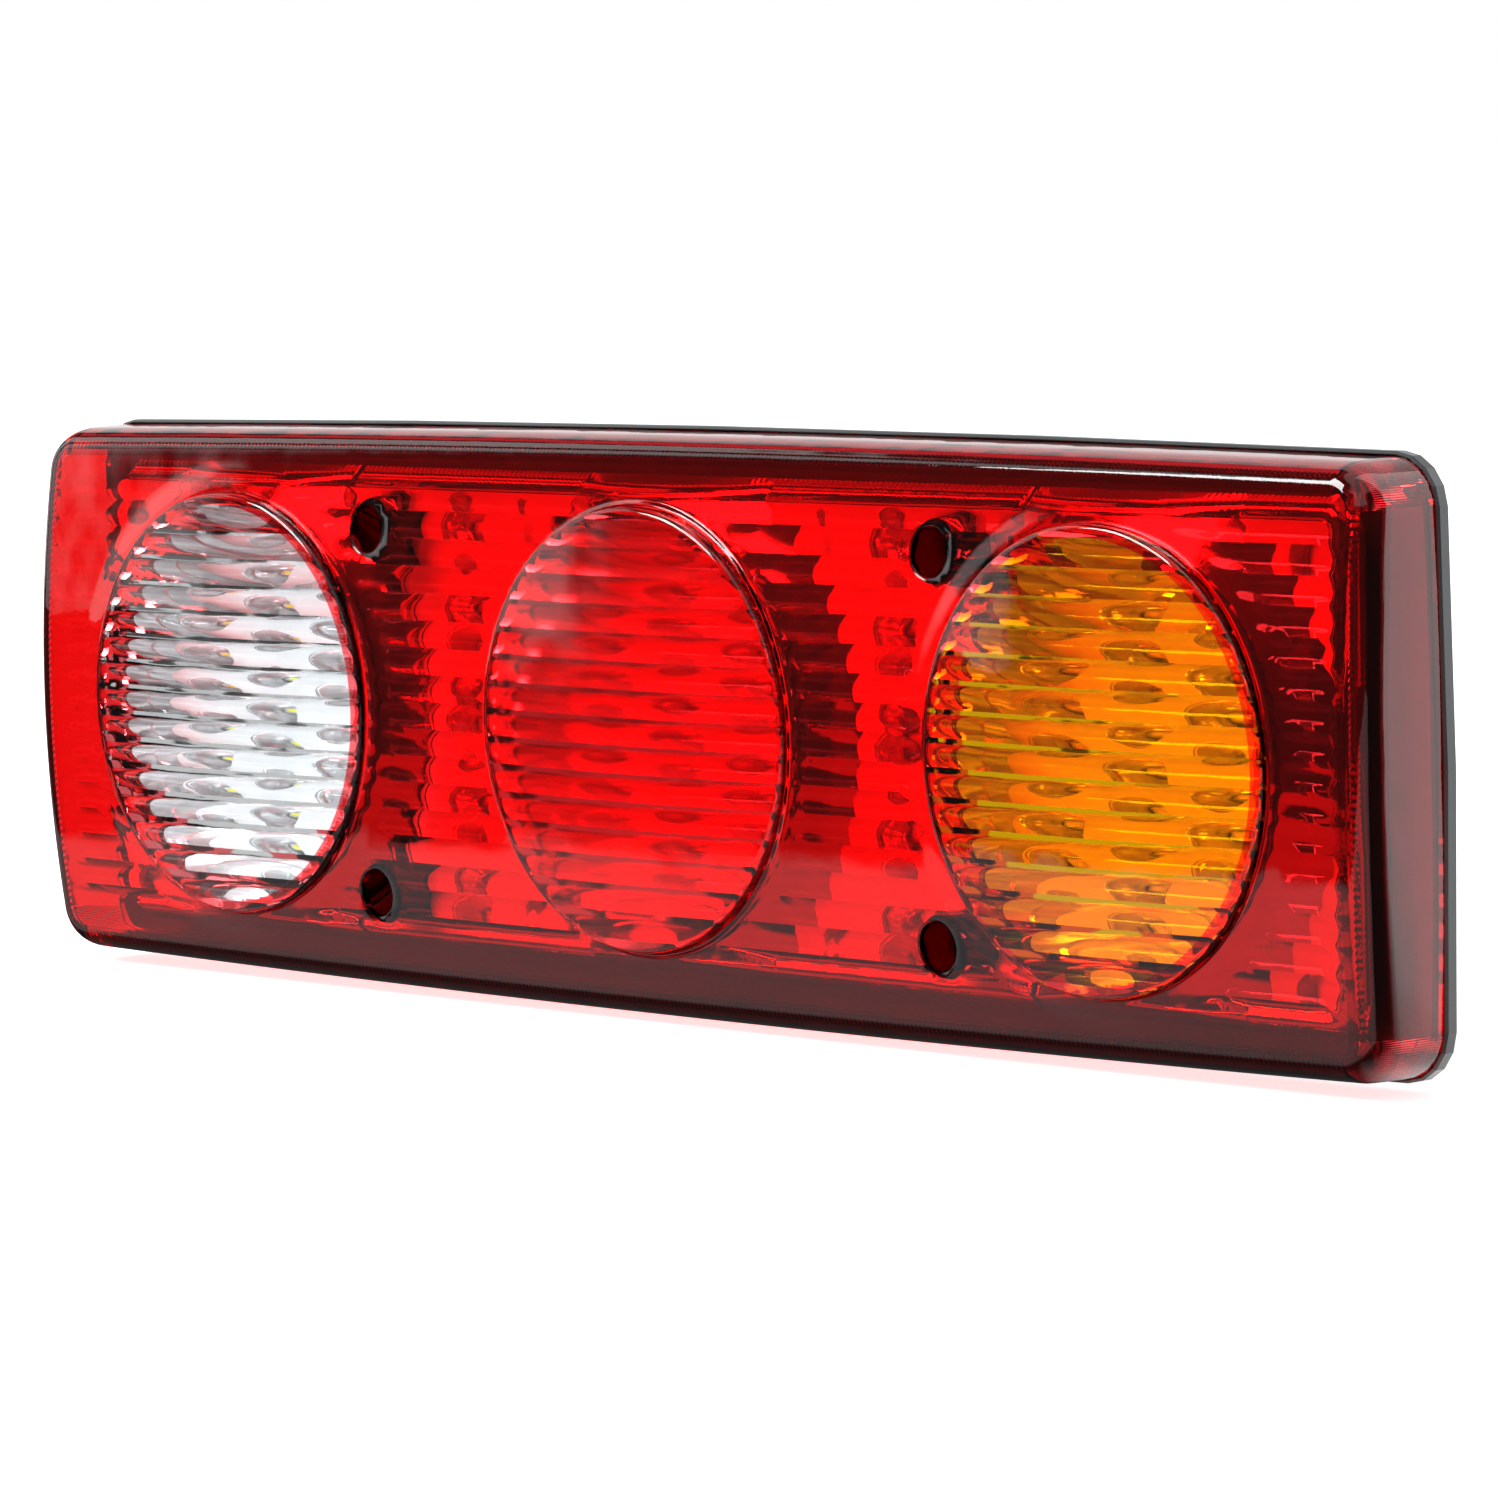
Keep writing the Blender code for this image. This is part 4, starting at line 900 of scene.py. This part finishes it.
def cup_surface(place, mouth):
    """A cup round a diode: a paraboloid, r = base + (mouth - base) sqrt(t), cut into facets.

    Every other ring is turned by half a facet, so the facets are diamonds.
    """
    rings = []
    for index, share in enumerate(np.linspace(0, 1, CUP_ROWS)):
        radius = CUP_BASE + (mouth - CUP_BASE) * math.sqrt(share)
        loop = circle(place, radius, CUP_SIDES)
        if (CUP_ROWS - 1 - index) % 2:
            turn = math.pi / CUP_SIDES
            along, across = math.cos(turn), math.sin(turn)
            loop = place + (loop - place) @ np.array([[along, across], [-across, along]])
        rings.append(at_height(loop, CUP_FLOOR + (REFLECTOR_FACE - CUP_FLOOR) * share))
    return grid(np.stack(rings), wrap_columns=True)


def bevel_surface(path):
    """The tray's edge: from the path outwards and back at 45 degrees, in small upright ridges."""
    along = np.gradient(path, axis=0)
    across = np.column_stack([along[:, 1], -along[:, 0]])
    outward = across / np.linalg.norm(along, axis=1, keepdims=True)
    ridge = BEVEL_RIDGE * (np.arange(len(path)) % 2)
    low = REFLECTOR_FACE - BEVEL
    height = tray_height(*path.T)
    rings = [at_height(path, height)]
    for share in (BEVEL_START, 1):
        edge = path + outward * (BEVEL * share - ridge)[:, None]
        rings.append(at_height(edge, height + (low - height) * share - ridge))
    return grid(np.stack(rings))


def straight(start, end, step=BEVEL_STEP):
    """Points from start to just before end, about one step apart."""
    steps = max(2, round(math.dist(start, end) / step))
    return np.linspace(start, end, steps, endpoint=False)


def corner(centre, radius, turn_from, turn_to):
    """Points of an arc in 8 steps, turns in degrees, the last point left out."""
    turn = np.radians(np.linspace(turn_from, turn_to, 9)[:-1])
    return centre + radius * np.column_stack([np.cos(turn), np.sin(turn)])


def make_tray(name, centre_x, boundary, bevel_paths, places, others, node_name):
    """One tray: the bowl and fields within its boundary, its cups and its bevelled edges.

    places are its cups' (place, mouth), and others the middles of the bowls that it makes way for.
    The bowl's floor, slope and rim and the flat fields each take a finish of their own.
    """
    rings = [circle((centre_x, 0), radius, DOME_SIDES) for radius in (*BOWL_RADII[1:], *BOWL_EXTRA_RINGS)]
    span = np.ptp(boundary, axis=0) / 2
    flat = lattice(*span, FIELD_STEP, 2) + [boundary[:, 0].min() + span[0], 0]
    away = bowl_distance(*flat.T)
    filling = np.vstack([*rings, flat[away > FIELD_FROM], flat[away < BOWL_BASE - CLEARANCE]])
    holes = [(place, mouth, CUP_SIDES) for place, mouth in places]
    holes += [(other, BOWL_RADII[-1] + TRAY_GAP, DOME_SIDES) for other in others]
    if not centre_x:
        holes += [(place, REFLECTOR_RELIEF, WELL_SIDES) for place in LENS_SCREWS]
    points, faces = sheet(boundary, holes, filling, tray_height, FINE_CLEARANCE)
    middle = points[faces].mean(axis=1)
    finishes = [METALLISED, SATIN, WHITE_SATIN, BRIGHT_METALLISED]
    slope, field, floor, bright = range(4)
    zone = np.digitize(bowl_distance(*middle[:, :2].T), [BOWL_BASE, BOWL_CREST, BOWL_RADII[-1]])
    surfaces = [(points, faces, np.array([floor, slope, bright, field])[zone])]
    surfaces += [(*cup_surface(np.array(place), mouth), slope) for place, mouth in places]
    surfaces += [(*bevel_surface(path), bright) for path in bevel_paths]
    stands_for = [node_name]
    piece = make_piece(name, surfaces, finishes, stands_for, TRAY_SHARP_ABOVE, False)
    wall = piece.modifiers.new("wall", "SOLIDIFY")
    wall.thickness = TRAY_WALL
    wall.offset = -1


def make_trays():
    """Three trays: a bowl with a field at each end of the lamp, and one with the tail lamp's fields.

    The end bowls' rim is an arc from angle 180 - meet to 180 + meet, where it meets the long sides.
    """
    top = FIELD_HALF_HEIGHT
    end = FIELD_HALF_LENGTH
    inner = FIELD_CORNER
    edge = BOWL_RADII[-1]
    meet = math.degrees(math.asin(top / edge))
    meet_x = DOME_SPACING - edge * math.cos(math.radians(meet))
    rim = np.vstack(
        [
            straight((meet_x, -top), (end - inner, -top)),
            corner((end - inner, inner - top), inner, -90, 0),
            straight((end, inner - top), (end, top - inner)),
            corner((end - inner, top - inner), inner, 0, 90),
            straight((end - inner, top), (meet_x, top)),
            [(meet_x, top)],
        ]
    )
    turn = np.radians(np.linspace(180 - meet, 180 + meet, BOWL_ARC_POINTS)[1:-1])
    arc = (DOME_SPACING, 0) + edge * np.column_stack([np.cos(turn), np.sin(turn)])
    right = np.vstack([rim, arc])
    low = straight((meet_x, -top), (end - inner, -top))
    high = straight((end - inner, top), (meet_x, top))
    places = [(place, CUP_MOUTH) for place in cup_places(DOME_SPACING)]
    make_tray("indicator_tray", DOME_SPACING, right, [rim], places, [], "reflector_indicator")
    places = [(place, CUP_MOUTH) for place in cup_places(-DOME_SPACING)]
    make_tray("reverse_tray", -DOME_SPACING, -right, [-low, -high], places, [], "reflector_reverse")

    half = DOME_SPACING - math.sqrt((edge + TRAY_GAP) ** 2 - top**2)
    low = straight((-half, -top), (half, -top))
    high = straight((half, top), (-half, top))
    ends = straight((half, -top), (half, top)), straight((-half, top), (-half, -top))
    boundary = np.vstack([low, ends[0], high, ends[1]])
    places = [(place, CUP_MOUTH) for place in cup_places(0.0)]
    places += [(place, TAIL_MOUTH) for place in TAIL_PLACES]
    others = [(-DOME_SPACING, 0.0), (DOME_SPACING, 0.0)]
    make_tray("stop_tail_tray", 0.0, boundary, [low, high], places, others, "reflector_stop_tail")


# ---------------------------------------------------------------------------------------------
# Diode windows on the boards
# ---------------------------------------------------------------------------------------------
def make_windows(name, places):
    """The phosphor window of each diode: a low dome, 3.2 mm across, on the package."""
    profile = [(radius, DIODE_TOP + height) for radius, height in WINDOW]
    windows = [turned(place, profile, WINDOW_SIDES) for place in places]
    make_piece(name, windows, [PHOSPHOR])


make_outer_lens()
make_dome("clear_dome_optic", CHAMBERS["reverse"], CLEAR_PMMA, "clear_dome_lens")
make_dome("red_dome_optic", CHAMBERS["stop"], RED_OPTIC_PMMA, "red_dome_lens")
make_dome("amber_dome_optic", CHAMBERS["indicator"], AMBER_PMMA, "amber_dome_lens")
make_trays()
for chamber, x in CHAMBERS.items():
    make_windows(f"diode_windows_{chamber}", [*cup_places(x), *(TAIL_PLACES if chamber == "stop" else ())])

# ---------------------------------------------------------------------------------------------
# Finishes of the CAD nodes that stay
# ---------------------------------------------------------------------------------------------
FINISHES = {
    "rear_housing": BLACK_ABS,
    "lens_gasket": EPDM,
    "lens_screw_seal": EPDM,
    "cable_grommet": EPDM,
    "breather_plug": EPDM,
    "led_board": LAMINATE,
    "board_link": WIRE_PVC,
    "board_screw": ZINC_STEEL,
    "lens_screw": BLACK_STEEL,
    "mounting_stud": ZINC_STEEL,
    "flat_washer": ZINC_STEEL,
    "spring_washer": ZINC_STEEL,
    "nut": ZINC_STEEL,
}
for name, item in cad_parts.items():
    known = [key for key in FINISHES if name.startswith(key)]
    if known:
        for place in item.material_slots:
            place.material = FINISHES[max(known, key=len)]

# ---------------------------------------------------------------------------------------------
# Floor
# ---------------------------------------------------------------------------------------------
def make_floor():
    """A pale sweep that the lamp stands on; it keeps the lamp's shadow.

    For the camera it glows, least near the lamp, so that the shadow stays. Gloss and glass see it
    as dark as the room, which under and just in front of the lamp is a painted shadow, but for a
    painted lit strip of table in front of the lamp and painted light behind it, stronger on the right.
    """
    low = cad_box[0][2] - FLOOR_DROP
    quarters = [(-1, -1), (1, -1), (1, 1), (-1, 1)]
    corners = [(side * FLOOR_REACH, rise * FLOOR_REACH, low) for side, rise in quarters]
    mesh = bpy.data.meshes.new("floor")
    mesh.from_pydata(corners, [], [(0, 1, 2, 3)])
    made, tree, place = new_material("studio_floor")
    path = node(tree, "ShaderNodeLightPath").outputs
    far = node(tree, "ShaderNodeVectorMath", {"operation": "LENGTH"}, i0=place).outputs["Value"]
    glow = node(
        tree,
        "ShaderNodeMapRange",
        Value=far,
        From_Min=GLOW_NEAR,
        From_Max=GLOW_FAR,
        To_Min=FLOOR_GLOW,
        To_Max=1.0,
    )
    strength = node(tree, "ShaderNodeMath", MULTIPLY, i0=path["Is Camera Ray"], i1=glow.outputs[0])
    paint = node(
        tree,
        "ShaderNodeBsdfPrincipled",
        Base_Color=linear("#E6E6E6"),
        Roughness=0.9,
        Emission_Color=WHITE,
        Emission_Strength=strength.outputs[0],
    )

    # Painted light for gloss and glass: a lit strip of table in front of the lamp, and dark nearer to it as
    # painted shadow
    flat = node(tree, "ShaderNodeSeparateXYZ", Vector=place).outputs
    x, y = flat["X"], flat["Y"]
    slanted = node(tree, "ShaderNodeMath", MULTIPLY_ADD, i0=x, i1=STRIP_SLANT, i2=y).outputs[0]
    near_edge, far_edge = STRIP_EDGES
    before_far = between(tree, y, -STRIP_END, STRIP_FAR, far_edge)
    past_near = between(tree, slanted, STRIP_NEAR, STRIP_END, near_edge)
    lit = node(tree, "ShaderNodeMath", MULTIPLY, i0=before_far, i1=past_near).outputs[0]
    strip = node(tree, "ShaderNodeMapRange", Value=lit, To_Min=ROOM_DARK, To_Max=STRIP_SHINE).outputs[0]

    # Painted light on the floor behind the lamp, for gloss and glass
    change = {"From_Min": -BACK_CHANGE, "From_Max": BACK_CHANGE}
    left, right = BACK_LIGHTS
    light = node(tree, "ShaderNodeMapRange", Value=x, **change, To_Min=left, To_Max=right).outputs[0]
    past = node(tree, "ShaderNodeMath", {"operation": "SUBTRACT"}, i0=x, i1=BACK_TURN).outputs[0]
    past = node(tree, "ShaderNodeMath", MAXIMUM, i0=past, i1=0.0).outputs[0]
    step = {"From_Min": BACK_TURN, "From_Max": BACK_TURN + BACK_STEP_WIDTH}
    nearer = node(tree, "ShaderNodeMapRange", Value=x, **step, To_Min=0.0, To_Max=BACK_STEP).outputs[0]
    line = node(tree, "ShaderNodeMath", {"operation": "ADD"}, i0=y, i1=nearer).outputs[0]
    line = node(tree, "ShaderNodeMath", MULTIPLY_ADD, i0=past, i1=-BACK_SLANT, i2=line).outputs[0]
    low_edge, high_edge = BACK_EDGE
    behind = node(tree, "ShaderNodeMapRange", Value=line, From_Min=low_edge, From_Max=high_edge).outputs[0]
    shine = node(tree, "ShaderNodeMix", {"data_type": "FLOAT"}, Factor=behind, i2=strip, i3=light).outputs[0]
    room = node(tree, "ShaderNodeEmission", Color=WHITE, Strength=shine).outputs[0]

    seen = node(tree, "ShaderNodeMath", MAXIMUM, i0=path["Is Glossy Ray"], i1=path["Is Transmission Ray"])
    mixed = node(tree, "ShaderNodeMixShader", i0=seen.outputs[0], i1=paint.outputs[0], i2=room)
    node(tree, "ShaderNodeOutputMaterial", Surface=mixed.outputs[0])
    mesh.materials.append(made)
    floor = bpy.data.objects.new("floor", mesh)
    scene.collection.objects.link(floor)


make_floor()
